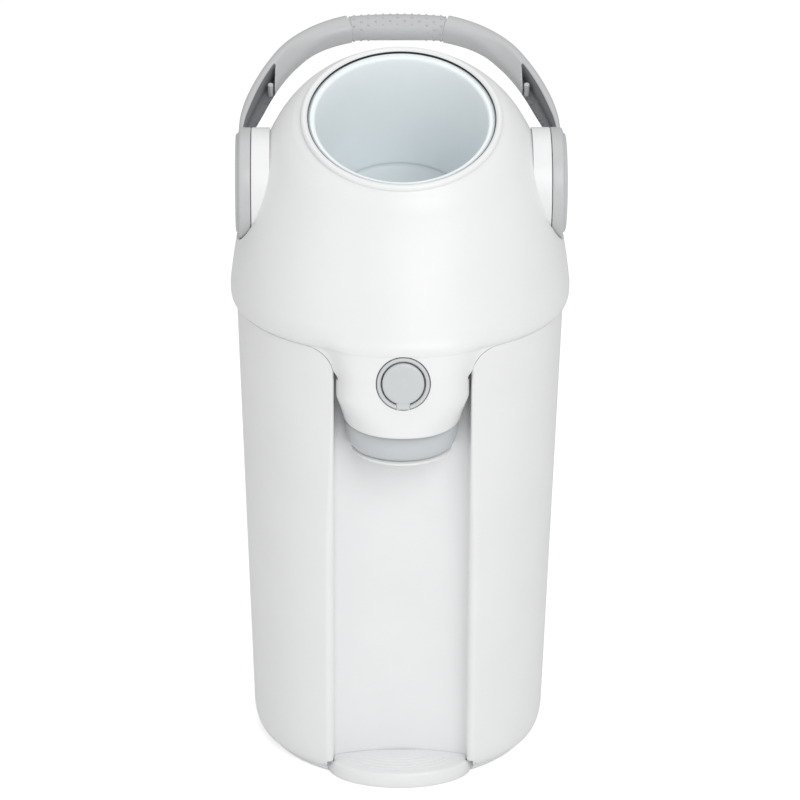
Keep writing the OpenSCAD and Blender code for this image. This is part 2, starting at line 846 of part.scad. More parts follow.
// Handle: stations of the bow's centre line, with half width and half thickness
bow = [[152.2, 50, 4.8, 11], [152, 64, 4.9, 11], [149.6, 78, 6.9, 11],
       [146.2, 90, 8.6, 11.2], [141.8, 104, 9.8, 11.6], [136.2, 120, 10.2, 12],
       [129.2, 137, 10.4, 12.2], [120.2, 155, 10.6, 12.4], [109, 173, 11, 12.6],
       [95, 189, 11.4, 12.8], [79, 201.5, 11.8, 13], [62, 210, 12.2, 13.1],
       [49, 214.5, 12.4, 13.1]];
bow_n = 16;

function bow_side(i) = let (a = bow[max(i - 1, 0)], b = bow[min(i + 1, len(bow) - 1)],
    d = [b[0] - a[0], b[1] - a[1]]) [d[1], -d[0]] / norm(d);
function bow_ring(i) = [for (k = [0:bow_n - 1]) let (a = 360 * k / bow_n, s = bow_side(i),
        c = sign(cos(a)) * pow(abs(cos(a)), 0.75), e = sign(sin(a)) * pow(abs(sin(a)), 0.75))
    [bow[i][0] + s[0] * bow[i][2] * c, bow[i][1] + s[1] * bow[i][2] * c, bow[i][3] * e]];

module bow_arm() {
    end = [for (k = [0:bow_n - 1]) let (a = 360 * k / bow_n)
        [grip_len / 2, grip_reach + 13 * cos(a), 13 * sin(a)]];
    skin(concat([for (i = [0:len(bow) - 2]) bow_ring(i)], [end]), bow_n);
}

// Pocket in the inner side of each arm, open to the inside and above, between the bow's
// stations 1 and 7. Each row: station, where the pocket ends towards the inside.
pocket_rows = [[1, -1.6], [2, -1.6], [3, -1.6], [4, -1.6], [5, -1.5], [6, -0.75], [7, -0.05]];
pocket_edge = 0.1;
pocket_floor = 3;

function pocket_ring(row) = let (i = row[0], s = bow_side(i), w = bow[i][2], t = bow[i][3])
    [for (p = [[pocket_edge, pocket_floor - t], [pocket_edge, t + 4], [row[1], t + 4],
               [row[1], pocket_floor - t]])
        [bow[i][0] + s[0] * w * p[0], bow[i][1] + s[1] * w * p[0], p[1]]];

module arm_pocket() {
    skin([for (row = pocket_rows) pocket_ring(row)], 4);
}

module handle_bow() {
    core_r = grip_r - 2.2;
    color(light_grey) difference() {
        union() {
            tilted() both_sides() difference() {
                bow_arm();
                arm_pocket();
            }
            tilted() bar_x(core_r, -grip_len / 2 - 2, grip_len / 2 + 2, grip_reach, 0);
            both_sides() bar_x(hub_r, hub_x, hub_face_x, 0, pivot_z, round_fn);
        }
        both_sides() {
            translate([hub_x - 1, -10.05, pivot_z - 10.05]) cube([9.05, 20.1, 20.1]);
            bar_x(6.5, hub_x, 200, 0, pivot_z);
            bar_x(48.4, hub_face_x - 2, 200, 0, pivot_z, round_fn);
        }
    }
}

module grip_sleeve() {
    color(light_grey) tilted() difference() {
        bar_x(grip_r, -grip_len / 2, grip_len / 2, grip_reach, 0, round_fn);
        bar_x(grip_r - 2.2, -grip_len, grip_len, grip_reach, 0, small_fn);
    }
}

module hub_cap() {
    translate([0, 0, pivot_z]) rotate([0, 90, 0]) rotate_extrude($fn = round_fn)
        polygon([[0, hub_face_x], [48.3, hub_face_x - 2], [48.3, hub_face_x + 1],
                 [46, cap_face_x - 0.6], [42, cap_face_x], [0, cap_face_x]]);
}

module right_hub_cap() {
    color(light_grey) hub_cap();
}

module left_hub_cap() {
    color(light_grey) mirror([1, 0, 0]) hub_cap();
}

// Piston, shown at the lower end of the tube
piston_r = tube_r - piston_gap;
piston_mid = -stop_h + gap + piston_h / 2;

module at_piston() {
    tilted() translate([0, 0, piston_mid]) children();
}

module piston_skirt() {
    color(drum_white) at_piston() rotate_extrude($fn = round_fn)
        polygon([[piston_r - 3, -piston_h / 2], [piston_r - 1, -piston_h / 2],
                 [piston_r - 1, -8.1], [piston_r - 2.6, -8.1], [piston_r - 2.6, -4.9],
                 [piston_r - 1, -4.9], [piston_r - 1, 4.9], [piston_r - 2.6, 4.9],
                 [piston_r - 2.6, 8.1], [piston_r - 1, 8.1], [piston_r - 1, piston_h / 2],
                 [piston_r - 3, piston_h / 2], [piston_r - 4.5, piston_h / 2 - 2],
                 [piston_r - 4.5, 2 - piston_h / 2]]);
}

// Dished end of the piston
cap_dip = 9;
cap_t = 2.4;

function dish(k) = [(piston_r - 3) * k, piston_h / 2 - cap_dip * (1 - k * k)];

module piston_cap() {
    rotate_extrude($fn = round_fn)
        polygon(concat([for (k = [0:0.125:1]) dish(k)], [[piston_r - 4.5, piston_h / 2 - 2]],
                       [for (k = [0.875:-0.125:0]) dish(k) - [0, cap_t]]));
}

module piston_top_cap() {
    color(drum_white) at_piston() piston_cap();
}

module piston_bottom_cap() {
    color(drum_white) at_piston() mirror([0, 0, 1]) piston_cap();
}

module piston_rings() {
    color(rubber_grey) at_piston() for (z = [-6.5, 6.5]) translate([0, 0, z])
        rotate_extrude($fn = round_fn)
            polygon([[piston_r - 2.6, -1.5], [piston_r - 0.4, -1.5], [piston_r, -0.6],
                     [piston_r, 0.6], [piston_r - 0.4, 1.5], [piston_r - 2.6, 1.5]]);
}

body_shell();
base_plate();
anti_slip_pads();
foot_plate();
foot_plate_screws();
base_screws();
catch_housing();
keeper_pin();
catch_screws();
body_hinge_bracket();
body_hinge_screws();
hinge_pin();
dome_shell();
lid_hinge_bracket();
lid_hinge_screws();
lid_gasket();
upper_seal();
lower_seal();
ball_cradle();
cradle_screws();
left_bush();
right_bush();
button_bezel();
release_button();
latch_bracket();
latch_pin();
latch_lever();
latch_spring();
ball_left_half();
ball_right_half();
drum_tube();
left_trunnion();
right_trunnion();
trunnion_screws();
handle_bow();
grip_sleeve();
left_hub_cap();
right_hub_cap();
piston_skirt();
piston_top_cap();
piston_bottom_cap();
piston_rings();
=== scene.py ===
import json
import math

import bmesh
import bpy
from mathutils import Matrix, Vector


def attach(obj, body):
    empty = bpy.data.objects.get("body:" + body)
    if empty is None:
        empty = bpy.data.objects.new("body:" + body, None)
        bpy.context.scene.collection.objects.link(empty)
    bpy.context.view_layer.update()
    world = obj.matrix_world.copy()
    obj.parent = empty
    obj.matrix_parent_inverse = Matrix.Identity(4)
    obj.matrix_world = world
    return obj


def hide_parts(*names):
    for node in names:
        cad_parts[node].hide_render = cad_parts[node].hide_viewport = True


MM = 0.001

# Body
BODY_TOP_R = 159.0
BODY_LOW_R = 145.3
FOOT_STEP_R = 136.0
SEAM_Z = 460.0
FOOT_Z = 8.0
TUCK_Z = 35.0
WALL = 3.0
RECESS_HALF_W = 65.2
RECESS_CENTRE_Y = -270.4
RECESS_WALL_R = 176.0
RECESS_EDGE_R = 6.0
RECESS_CORNER_R = 7.0
RECESS_SIDE_Y = -120.0
TIGHT_EDGE_R = 2.2
TIGHT_ABOVE_Z = 400.0
EDGE_BLEND = 160.0
TOP_EDGE_R = 1.2
FOOT_HALF_W = 72.0
FOOT_CUT_Z = 16.3
SCREW_BOSS_R = 5.0
SCREW_BOSS_TOP = 22.5
SCREW_BOSS_PLACE = (26.0, -84.0)
SHELF_TOP = 350.9
SHELF_T = 2.5
SHELF_EDGE = 0.8
SHELF_HALF_W = 48.5
SHELF_REACH = 161.0
SHELF_BACK_Y = -108.0
CORNER_R = 28.0
CORNER_X = RECESS_HALF_W + CORNER_R
CORNER_Z = SEAM_Z - CORNER_R
CORNER_POWER = 2.1

# Dome
PIVOT_Z = 578.0
TILT = math.radians(27)
RIM_H = 91.0
RIM_R = 96.0
OPENING_R = 89.5
LIP_RISE = 2.0
BEAD_R = 3.4
BEAD = (OPENING_R + BEAD_R, RIM_H - BEAD_R)
LIP_LOW_H = 84.5
SHOULDER_R = 165.0
SHOULDER_Z = 480.0
SKIRT_LOW_R = 159.4
SKIRT_R = 160.1
SKIRT_EDGE = 1.8
SKIRT_ROUND = 12.0
GAP = 0.3
RIB_OUT = 7.5
RIB_IN = 9.9
POST_R = 5.0
POST_REACH = 133.0
POST_ANGLES = (42, 138, 222, 318)
POST_LOW_Z = 543.0
POST_TOP_Z = 610.0
SEAL_IN_R = 124.4
SEAL_OUT_R = 126.5

# Ball, hubs and handle
TUBE_R = 80.0
TUBE_WALL = 2.5
FLANGE_R = 88.7
FLANGE_H = 86.4
SEAT_H = 84.0
BOSS_X = 143.7
HUB_X = 144.3
HUB_FACE_X = 156.0
CAP_FACE_X = 159.0
CAP_R = 48.3
CAP_EDGE = 2.7
HUB_R = 53.5
POCKET_R = 55.0
BUSH_R = 19.0
BOSS_ROOT_X = 126.0
BORE_FROM_X = 90.0
BORE_TO_X = 150.0
POCKET_TO_X = 190.0
ROUND_FROM = 172.0
ROUND_OVER = 34.0
SOFT_POWER = 0.75
ARM_BOSS_PLACE = (126.4, 130.0, 0.0)
GRIP_REACH = 218.0
GRIP_LEN = 98.0
GRIP_R = 12.5
GRIP_ARCH = 3.2
CORE_R = 11.4
DOT_TOP_R = 13.6
DOT_ROWS = 20
DOT_PITCH = 14.5
DOTS_HALF_L = 45.0

# Piston, at the lower end of its travel
PISTON_R = 79.5
PISTON_H = 26.0
PISTON_DIP = 10.5
PISTON_MID = -79.5 + PISTON_H / 2

# Tab and button
TAB_LOW_Z = 384.0
TAB_HALF_W = 56.5
TAB_REACH = 181.0
TAB_MID_Z = 443.0
TAB_MID_HALF_W = 63.9
TAB_BACK_Y = 112.0
EAR_LOW_Z = 433.0
EAR_R = 159.2
TAB_SLOPE = math.atan((TAB_REACH - SHOULDER_R) / (SHOULDER_Z - TAB_LOW_Z))
TAB_MID_REACH = TAB_REACH - (TAB_MID_Z - TAB_LOW_Z) * math.tan(TAB_SLOPE)
TAB_LEAN = 0.13
TAB_FLARE_Z = 410.0
TAB_WIDE_Z = 413.0
TAB_EDGE_R = 2.4
TAB_SQUARE_LOW = 2.2
TAB_SQUARE_GAIN = 1.5
TAB_TOP_ANGLE = 22.5
TAB_REAR_PHI = 1.36
VALLEY = 13.0
VALLEY_TOP_Z = 466.0
BUTTON_Z = 437.0
BUTTON_Y = -SHOULDER_R - (SHOULDER_Z - BUTTON_Z) * math.tan(TAB_SLOPE)
BEZEL_R = 25.5
BUTTON_R = 19.8

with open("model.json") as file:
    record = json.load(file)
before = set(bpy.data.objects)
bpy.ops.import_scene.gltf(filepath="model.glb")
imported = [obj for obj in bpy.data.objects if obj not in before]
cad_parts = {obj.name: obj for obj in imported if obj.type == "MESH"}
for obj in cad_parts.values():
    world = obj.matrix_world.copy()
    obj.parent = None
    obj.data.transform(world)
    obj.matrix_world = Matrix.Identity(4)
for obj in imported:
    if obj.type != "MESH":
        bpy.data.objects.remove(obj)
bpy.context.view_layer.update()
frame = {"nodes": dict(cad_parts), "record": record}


# Mesh helpers

def make_object(name, points, faces, sharp=38):
    """Mesh object from points in millimetres, smooth up to the sharp angle."""
    mesh = bpy.data.meshes.new(name)
    mesh.from_pydata([Vector(p) * MM for p in points], [], faces)
    mesh.validate()
    obj = bpy.data.objects.new(name, mesh)
    bpy.context.scene.collection.objects.link(obj)
    shade(obj, sharp)
    return obj


def shade(obj, sharp=38):
    """Smooth shading, with sharp edges above the given angle."""
    mesh = obj.data
    mesh.polygons.foreach_set("use_smooth", [True] * len(mesh.polygons))
    mesh.set_sharp_from_angle(angle=math.radians(sharp))
    mesh.update()


def grid_faces(rows, cols, wrap_rows, wrap_cols):
    faces = []
    for i in range(rows if wrap_rows else rows - 1):
        for j in range(cols if wrap_cols else cols - 1):
            a = i * cols + j
            b = i * cols + (j + 1) % cols
            c = ((i + 1) % rows) * cols + (j + 1) % cols
            d = ((i + 1) % rows) * cols + j
            faces.append((a, b, c, d))
    return faces


def fix_normals(obj):
    """Merges points that coincide, drops loose edges and turns the faces outwards."""
    bm = bmesh.new()
    bm.from_mesh(obj.data)
    bmesh.ops.remove_doubles(bm, verts=bm.verts, dist=1e-6)
    loose = [e for e in bm.edges if not e.link_faces]
    bmesh.ops.delete(bm, geom=loose, context="EDGES")
    bmesh.ops.recalc_face_normals(bm, faces=bm.faces)
    bm.to_mesh(obj.data)
    bm.free()


def grid(name, rows, wrap_rows=False, wrap_cols=True, caps=False, sharp=38):
    """Skin over rows of points, closed round each row, with caps where asked."""
    cols = len(rows[0])
    faces = grid_faces(len(rows), cols, wrap_rows, wrap_cols)
    if caps:
        last = (len(rows) - 1) * cols
        faces.append(tuple(range(cols)))
        faces.append(tuple(range(last, last + cols)))
    points = [p for row in rows for p in row]
    obj = make_object(name, points, faces, sharp)
    fix_normals(obj)
    shade(obj, sharp)
    return obj


def turned(name, profile, place=None, n=160, sharp=38):
    """Solid of revolution about Z from a closed profile of (radius, height)."""
    rows = []
    for k in range(n):
        a = 2 * math.pi * k / n
        rows.append([(r * math.cos(a), r * math.sin(a), h) for r, h in profile])
    obj = grid(name, rows, wrap_rows=True, wrap_cols=True, sharp=sharp)
    if place is not None:
        move(obj, place)
    return obj


def move(obj, matrix):
    """Applies a placement in millimetres to the mesh itself."""
    scaled = matrix.copy()
    scaled.translation = matrix.translation * MM
    obj.data.transform(scaled)
    obj.data.update()


def along_x(side=1):
    """Turns Z into +X or -X, at the pivot's height."""
    turn = Matrix.Rotation(math.radians(90) * side, 4, "Y")
    return Matrix.Translation((0, 0, PIVOT_Z)) @ turn


def tilted():
    """Frame of the tilted tube: Z along it, origin at the pivot."""
    return Matrix.Translation((0, 0, PIVOT_Z)) @ Matrix.Rotation(TILT, 4, "X")


def at_button():
    """Frame of the button: Z out of the tab, Y up along it."""
    turn = Matrix.Rotation(math.radians(90) - TAB_SLOPE, 4, "X")
    return Matrix.Translation((0, BUTTON_Y, BUTTON_Z)) @ turn


def boolean(target, tool, operation):
    """Joins, cuts or intersects the target with the tool, which is used up."""
    mod = target.modifiers.new("cut", "BOOLEAN")
    mod.operation = operation
    mod.solver = "EXACT"
    mod.object = tool
    graph = bpy.context.evaluated_depsgraph_get()
    mesh = bpy.data.meshes.new_from_object(target.evaluated_get(graph))
    target.modifiers.clear()
    old = target.data
    target.data = mesh
    bpy.data.meshes.remove(old)
    bpy.data.objects.remove(tool)
    return target


def apply_modifiers(obj):
    graph = bpy.context.evaluated_depsgraph_get()
    mesh = bpy.data.meshes.new_from_object(obj.evaluated_get(graph))
    obj.modifiers.clear()
    old = obj.data
    obj.data = mesh
    bpy.data.meshes.remove(old)
    return obj


def join(name, objects):
    """One mesh from several, each face keeping its material number."""
    bm = bmesh.new()
    for obj in objects:
        bm.from_mesh(obj.data)
    mesh = bpy.data.meshes.new(name)
    bm.to_mesh(mesh)
    bm.free()
    for obj in objects:
        bpy.data.objects.remove(obj)
    joined = bpy.data.objects.new(name, mesh)
    bpy.context.scene.collection.objects.link(joined)
    mesh.polygons.foreach_set("use_smooth", [True] * len(mesh.polygons))
    return joined


def arc(centre, radius, a0, a1, steps):
    """Points on an arc from a0 to a1 degrees."""
    turns = [math.radians(a0 + (a1 - a0) * i / steps) for i in range(steps + 1)]
    return [(centre[0] + radius * math.cos(a), centre[1] + radius * math.sin(a))
            for a in turns]


def smooth(t):
    """Eased step from 0 to 1."""
    t = min(1.0, max(0.0, t))
    return t * t * (3 - 2 * t)


def bezier(p0, p1, p2, p3, t):
    s = 1 - t
    return tuple(s ** 3 * a + 3 * s * s * t * b + 3 * s * t * t * c + t ** 3 * d
                 for a, b, c, d in zip(p0, p1, p2, p3))


# Materials

def node_material(name):
    mat = bpy.data.materials.new(name)
    mat.use_nodes = True
    nodes = mat.node_tree.nodes
    links = mat.node_tree.links
    shader = nodes["Principled BSDF"]
    coords = nodes.new("ShaderNodeTexCoord")
    return mat, nodes, links, shader, coords.outputs["Object"]


def noise(nodes, links, coords, scale, detail, roughness=0.5):
    tex = nodes.new("ShaderNodeTexNoise")
    tex.inputs["Scale"].default_value = scale
    tex.inputs["Detail"].default_value = detail
    tex.inputs["Roughness"].default_value = roughness
    links.new(coords, tex.inputs["Vector"])
    return tex.outputs["Fac"]


def spread(nodes, links, value, low, high):
    ramp = nodes.new("ShaderNodeMapRange")
    ramp.inputs["From Min"].default_value = 0.3
    ramp.inputs["From Max"].default_value = 0.7
    ramp.inputs["To Min"].default_value = low
    ramp.inputs["To Max"].default_value = high
    links.new(value, ramp.inputs["Value"])
    return ramp.outputs["Result"]


def tint(nodes, links, value, first, second):
    mix = nodes.new("ShaderNodeMix")
    mix.data_type = "RGBA"
    mix.inputs["A"].default_value = (*first, 1)
    mix.inputs["B"].default_value = (*second, 1)
    links.new(value, mix.inputs["Factor"])
    return mix.outputs["Result"]


def bump(nodes, links, height, strength, distance, shader):
    node = nodes.new("ShaderNodeBump")
    node.inputs["Strength"].default_value = strength
    node.inputs["Distance"].default_value = distance
    links.new(height, node.inputs["Height"])
    links.new(node.outputs["Normal"], shader.inputs["Normal"])


def moulded(name, colour, rough, grain=2600.0, depth=0.12, metallic=0.0):
    """Moulded plastic or plated metal: slow colour drift, fine grain and uneven gloss."""
    mat, nodes, links, shader, coords = node_material(name)
    darker = tuple(c * 0.975 for c in colour)
    drift = noise(nodes, links, coords, 14.0, 3.0)
    mixed = tint(nodes, links, spread(nodes, links, drift, 0.0, 1.0), darker, colour)
    links.new(mixed, shader.inputs["Base Color"])
    smear = noise(nodes, links, coords, 90.0, 4.0)
    links.new(spread(nodes, links, smear, rough - 0.04, rough + 0.04),
              shader.inputs["Roughness"])
    fine = noise(nodes, links, coords, grain, 2.0)
    bump(nodes, links, fine, depth, 0.0002, shader)
    shader.inputs["Metallic"].default_value = metallic
    shader.inputs["IOR"].default_value = 1.47
    return mat


WHITE = moulded("white_shell", (0.85, 0.855, 0.86), 0.36)
INNER = moulded("inner_white", (0.78, 0.79, 0.795), 0.45)
DRUM = moulded("drum_white", (0.90, 0.945, 0.96), 0.34, 700.0, 0.02)
# Painted shade: the piston is a darker, greyer blue than the drum to stand in for the shadow
# at the bottom of the tube.
PISTON_SHADE = moulded("piston_painted_shade", (0.74, 0.79, 0.81), 0.42, 700.0, 0.02)
GREY = moulded("handle_grey", (0.55, 0.56, 0.565), 0.33)
# Painted shade: dark grey on the walls of the arm's pocket, standing in for the shadow inside
# it; the plastic there is the arm's grey.
POCKET_SHADE = moulded("handle_pocket_painted_shade", (0.19, 0.195, 0.205), 0.5)
HOUSING = moulded("catch_grey", (0.60, 0.63, 0.645), 0.42)
GRIP = moulded("grip_grey", (0.53, 0.545, 0.55), 0.50, 1800.0, 0.25)
BUTTON = moulded("button_grey", (0.60, 0.62, 0.625), 0.33)
RUBBER = moulded("rubber", (0.10, 0.102, 0.105), 0.75, 1500.0, 0.35)
SEAL = moulded("black_seal", (0.012, 0.012, 0.013), 0.6, 1500.0, 0.35)
STEEL = moulded("steel", (0.62, 0.62, 0.63), 0.32, 3200.0, 0.10, 1.0)


def finish(obj, material, body, slot, *replaced):
    """Dresses a piece: its material, the body that it rides on and what it replaces."""
    if obj.data.materials:
        obj.data.materials.clear()
    obj.data.materials.append(material)
    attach(obj, body)
    if replaced:
        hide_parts(*replaced)
    return obj


# Body

def body_radius(z):
    """Tapered wall above the tuck, rounded in to the foot step below it."""
    if z >= TUCK_Z:
        return BODY_LOW_R + (BODY_TOP_R - BODY_LOW_R) * (z - TUCK_Z) / (SEAM_Z - TUCK_Z)
    c = min(1.0, max(0.0, (TUCK_Z - z) / (TUCK_Z - FOOT_Z)))
    return FOOT_STEP_R + (BODY_LOW_R - FOOT_STEP_R) * math.sqrt(max(0.0, 1 - c * c))


def corner_top(x):
    """Height of the body's edge over x, where it rounds down beside the tab."""
    u = min(1.0, max(0.0, (CORNER_X - x) / CORNER_R))
    return CORNER_Z + CORNER_R * (1 - u ** CORNER_POWER) ** (1 / CORNER_POWER)


def corner_side(z, r=CORNER_R):
    """Distance of the same rounded edge from the middle at height z."""
    u = min(1.0, max(0.0, (z - CORNER_Z) / r))
    return CORNER_X - r * (1 - u ** CORNER_POWER) ** (1 / CORNER_POWER)


def edge_radius(z):
    """Rounding of the recess's outer edges: tighter beside the tab than below."""
    blend = smooth((TIGHT_ABOVE_Z - z) / EDGE_BLEND)
    return TIGHT_EDGE_R + (RECESS_EDGE_R - TIGHT_EDGE_R) * blend


def body_outline(radius, d, half_w=RECESS_HALF_W, edge_r=RECESS_EDGE_R):
    """Right half of the plan, from the back to the middle of the recess, drawn in by d.
    Each point is (x, y, height of the wall's top edge)."""
    edge = max(0.8, edge_r - d)
    corner = RECESS_CORNER_R + d
    wall_r = RECESS_WALL_R + d
    side = half_w + d
    cx = side + edge
    cy = -math.sqrt((radius - edge) ** 2 - cx * cx)
    touch_x = cx * radius / (radius - edge)
    points = []
    start = math.degrees(math.asin(CORNER_X / radius))
    for i in range(61):
        a = math.radians(90 - (180 - start) * i / 60)
        points.append((radius * math.cos(a), radius * math.sin(a), SEAM_Z))
    for i in range(1, 37):
        a = math.radians(90 - 90 * i / 36)
        x = CORNER_X - (CORNER_X - side) * math.cos(a)
        if x > touch_x:
            y = -math.sqrt(radius * radius - x * x)
        else:
            y = cy - math.sqrt(max(0.0, edge * edge - (x - cx) ** 2))
        points.append((x, y, corner_top(x)))
    points.append((side, RECESS_SIDE_Y - 0.2, corner_top(side)))
    points.append((side, RECESS_SIDE_Y, SEAM_Z))
    gx = side - corner
    gy = RECESS_CENTRE_Y + math.sqrt((wall_r - corner) ** 2 - gx * gx)
    end = math.degrees(math.atan2(gy - RECESS_CENTRE_Y, gx))
    for x, y in arc((gx, gy), corner, 0, end, 8):
        points.append((x, y, SEAM_Z))
    for i in range(1, 17):
        a = math.radians(end + (90 - end) * i / 16)
        points.append((wall_r * math.cos(a), RECESS_CENTRE_Y + wall_r * math.sin(a), SEAM_Z))
    return points


def closed_loop(half):
    """Full loop from the points on the +X side, the first and the last on the middle."""
    return half + [(-x, y, z) for x, y, z in half[1:-1]][::-1]


def body_row(z, d, *recess):
    """One loop round the body at height z, never above the wall's top edge."""
    shape = recess or (RECESS_HALF_W, edge_radius(z))
    half = body_outline(body_radius(z) - d, d, *shape)
    return closed_loop([(x, y, min(z, top)) for x, y, top in half])


def make_boss(side):
    """Screw boss for the foot plate, inside the body."""
    low, top, r = FOOT_Z + 1, SCREW_BOSS_TOP, SCREW_BOSS_R
    profile = [(0, low), (r, low), (r, top - 0.8), (r - 0.8, top), (0, top)]
    x, y = SCREW_BOSS_PLACE
    return turned("boss", profile, Matrix.Translation((side * x, y, 0)), 32)


def make_shelf():
    """Shelf that the catch housing stands on."""
    low, edge = SHELF_TOP - SHELF_T, SHELF_EDGE
    rows = []
    for inset, z in [(edge, low), (0, low + edge), (0, SHELF_TOP - edge), (edge, SHELF_TOP)]:
        rows.append(plan_loop(SHELF_HALF_W - inset, SHELF_REACH - inset, SHELF_BACK_Y, z))
    return grid("shelf", rows, caps=True, sharp=60)


def make_body():
    round_r = TOP_EDGE_R
    foot = (FOOT_HALF_W, 0.8)
    low_z = [FOOT_Z, FOOT_Z + 0.6, FOOT_Z + 2.5, 12, 14, FOOT_CUT_Z]
    rows = [body_row(z, 0, *foot) for z in low_z]
    outer = [FOOT_CUT_Z, 18, 20, 23.5, 27, 31, TUCK_Z]
    outer += [TUCK_Z + 15 * i for i in range(1, 27)] + [428]
    outer += [CORNER_Z + CORNER_R * math.sin(math.radians(a)) for a in range(0, 76, 5)]
    rows += [body_row(z, 0) for z in outer if z < SEAM_Z - round_r]
    for a in range(0, 91, 30):
        lift = round_r * math.sin(math.radians(a))
        inset = round_r * (1 - math.cos(math.radians(a)))
        rows.append(body_row(SEAM_Z - round_r + lift, inset))
    rows.append(body_row(SEAM_Z, WALL - 0.8))
    rows.append(body_row(SEAM_Z - 0.8, WALL))
    for z in [CORNER_Z + 24, CORNER_Z + 20, CORNER_Z, 400, 300, 200, 100, 60, 40, 30, 22,
              FOOT_CUT_Z + WALL]:
        rows.append(body_row(z, WALL))
    for z in [FOOT_CUT_Z + WALL, 15, FOOT_Z + WALL]:
        rows.append(body_row(z, WALL, *foot))
    body = grid("bin_body", rows, caps=True, sharp=42)
    return join("bin_body", [body, make_shelf(), make_boss(1), make_boss(-1)])


# Dome

RIM_CENTRE = (-RIM_H * math.sin(TILT), PIVOT_Z + RIM_H * math.cos(TILT))

# Pull of the dome's section curves: where the front, back and sides bulge on their way
# from the shoulder to the opening, and the offsets with which they reach its rim.
FRONT_PULL = (-141.0, SEAM_Z + 98.0)
FRONT_REACH = (-2.0, -23.0)
BACK_PULL = (163.0, SEAM_Z + 120.0)
BACK_REACH = (50.0, -4.0)
SIDE_PULL = SHOULDER_R - 9.5
SIDE_REACH = 126.0


def rim_point(sign, d):
    """Frontmost (-1) or rearmost (1) point of the opening's rim, drawn in by d."""
    y = RIM_CENTRE[0] + d * math.sin(TILT) + sign * (RIM_R - d) * math.cos(TILT)
    z = RIM_CENTRE[1] - d * math.cos(TILT) + sign * (RIM_R - d) * math.sin(TILT)
    return y, z


def dome_ring(t, d, angles):
    """Section t of the dome, drawn in by d, at angles measured from its back."""
    fy, fz = rim_point(-1, d)
    by, bz = rim_point(1, d)
    front = bezier((-SHOULDER_R + d, SHOULDER_Z), (FRONT_PULL[0] + d, FRONT_PULL[1]),
                   (fy + FRONT_REACH[0], fz + FRONT_REACH[1]), (fy, fz), t)
    back = bezier((SHOULDER_R - d, SHOULDER_Z), (BACK_PULL[0] - d, BACK_PULL[1]),
                  (by + BACK_REACH[0] - d / 2, bz + BACK_REACH[1]), (by, bz), t)
    half = bezier((SHOULDER_R,), (SIDE_PULL,), (SIDE_REACH,), (RIM_R,), t)[0] - d
    my, mz = (front[0] + back[0]) / 2, (front[1] + back[1]) / 2
    hy, hz = (back[0] - front[0]) / 2, (back[1] - front[1]) / 2
    return [(half * math.sin(a), my + hy * math.cos(a), mz + hz * math.cos(a))
            for a in angles]


def lip_ring(r, h, angles):
    """Circle in the frame of the tilted tube, radius r at height h along it."""
    cy, cz = -h * math.sin(TILT), PIVOT_Z + h * math.cos(TILT)
    return [(r * math.sin(a), cy + r * math.cos(TILT) * math.cos(a),
             cz + r * math.sin(TILT) * math.cos(a)) for a in angles]


# Columns of the dome's half grid: over the tab, over the ear beside it, and the rest.
TAB_COLS, EAR_COLS, REST_COLS = 34, 14, 52


def tab_plan(z):
    """Half width, reach and squareness of the tab at height z."""
    wide = min(1.0, (z - TAB_LOW_Z) / (TAB_WIDE_Z - TAB_LOW_Z)) ** 1.3
    half = TAB_HALF_W + (TAB_MID_HALF_W - TAB_HALF_W) * wide
    reach = TAB_MID_REACH + TAB_LEAN * (TAB_MID_Z - min(z, TAB_MID_Z))
    flare = max(0.0, (TAB_FLARE_Z - z) / (TAB_FLARE_Z - TAB_LOW_Z))
    low_reach = TAB_MID_REACH + TAB_LEAN * (TAB_MID_Z - TAB_LOW_Z)
    reach += (TAB_REACH - low_reach) * flare ** 1.7
    return half, reach, TAB_SQUARE_LOW + TAB_SQUARE_GAIN * wide


def tab_point(phi, z, d=0.0):
    """Point (x, distance in front of the axis) on the tab's plan."""
    half, reach, power = tab_plan(z)
    deep = reach - TAB_BACK_Y
    return ((half - d) * math.sin(phi) ** (2 / power),
            TAB_BACK_Y + (deep - d) * max(0.0, math.cos(phi)) ** (2 / power))


def tab_radius(theta, z):
    """Distance from the axis to the tab's surface in the direction theta from the front."""
    half, reach, power = tab_plan(z)
    low, high = 100.0, 190.0
    for _ in range(30):
        r = (low + high) / 2
        u = r * abs(math.sin(theta)) / half
        v = max(0.0, (r * math.cos(theta) - TAB_BACK_Y) / (reach - TAB_BACK_Y))
        if u ** power + v ** power > 1:
            high = r
        else:
            low = r
    t = max(0.0, (z - TAB_MID_Z) / (SHOULDER_Z - TAB_MID_Z))
    return low + (SHOULDER_R - low) * t


def skirt_radius(z):
    """Radius of the dome's lower edge, swelling from the seam to the shoulder."""
    z0 = SEAM_Z + SKIRT_EDGE
    if z <= SEAM_Z + GAP:
        return EAR_R
    if z < z0:
        rise = (z - SEAM_Z - GAP) / (SKIRT_EDGE - GAP)
        return SKIRT_LOW_R + (SKIRT_R - SKIRT_LOW_R) * rise
    c = max(0.0, 1 - (z - z0) / SKIRT_ROUND)
    return SKIRT_R + (SHOULDER_R - SKIRT_R) * math.sqrt(1 - c * c)


def front_radius(theta, z):
    """The dome's lower surface: the larger of tab and skirt, with a soft valley between."""
    soft = VALLEY * smooth((z - EAR_LOW_Z) / 10) * (1 - smooth((z - VALLEY_TOP_Z) / 14))
    a, b = tab_radius(theta, z), skirt_radius(z)
    near = max(0.0, soft - abs(a - b))
    return max(a, b) + near * near / (4 * max(soft, 0.01))


def phi_end(z):
    """Where the tab's plan meets the ear's radius."""
    low, high = 0.3, math.pi / 2
    for _ in range(30):
        phi = (low + high) / 2
        if math.hypot(*tab_point(phi, z)) > EAR_R:
            low = phi
        else:
            high = phi
    return low


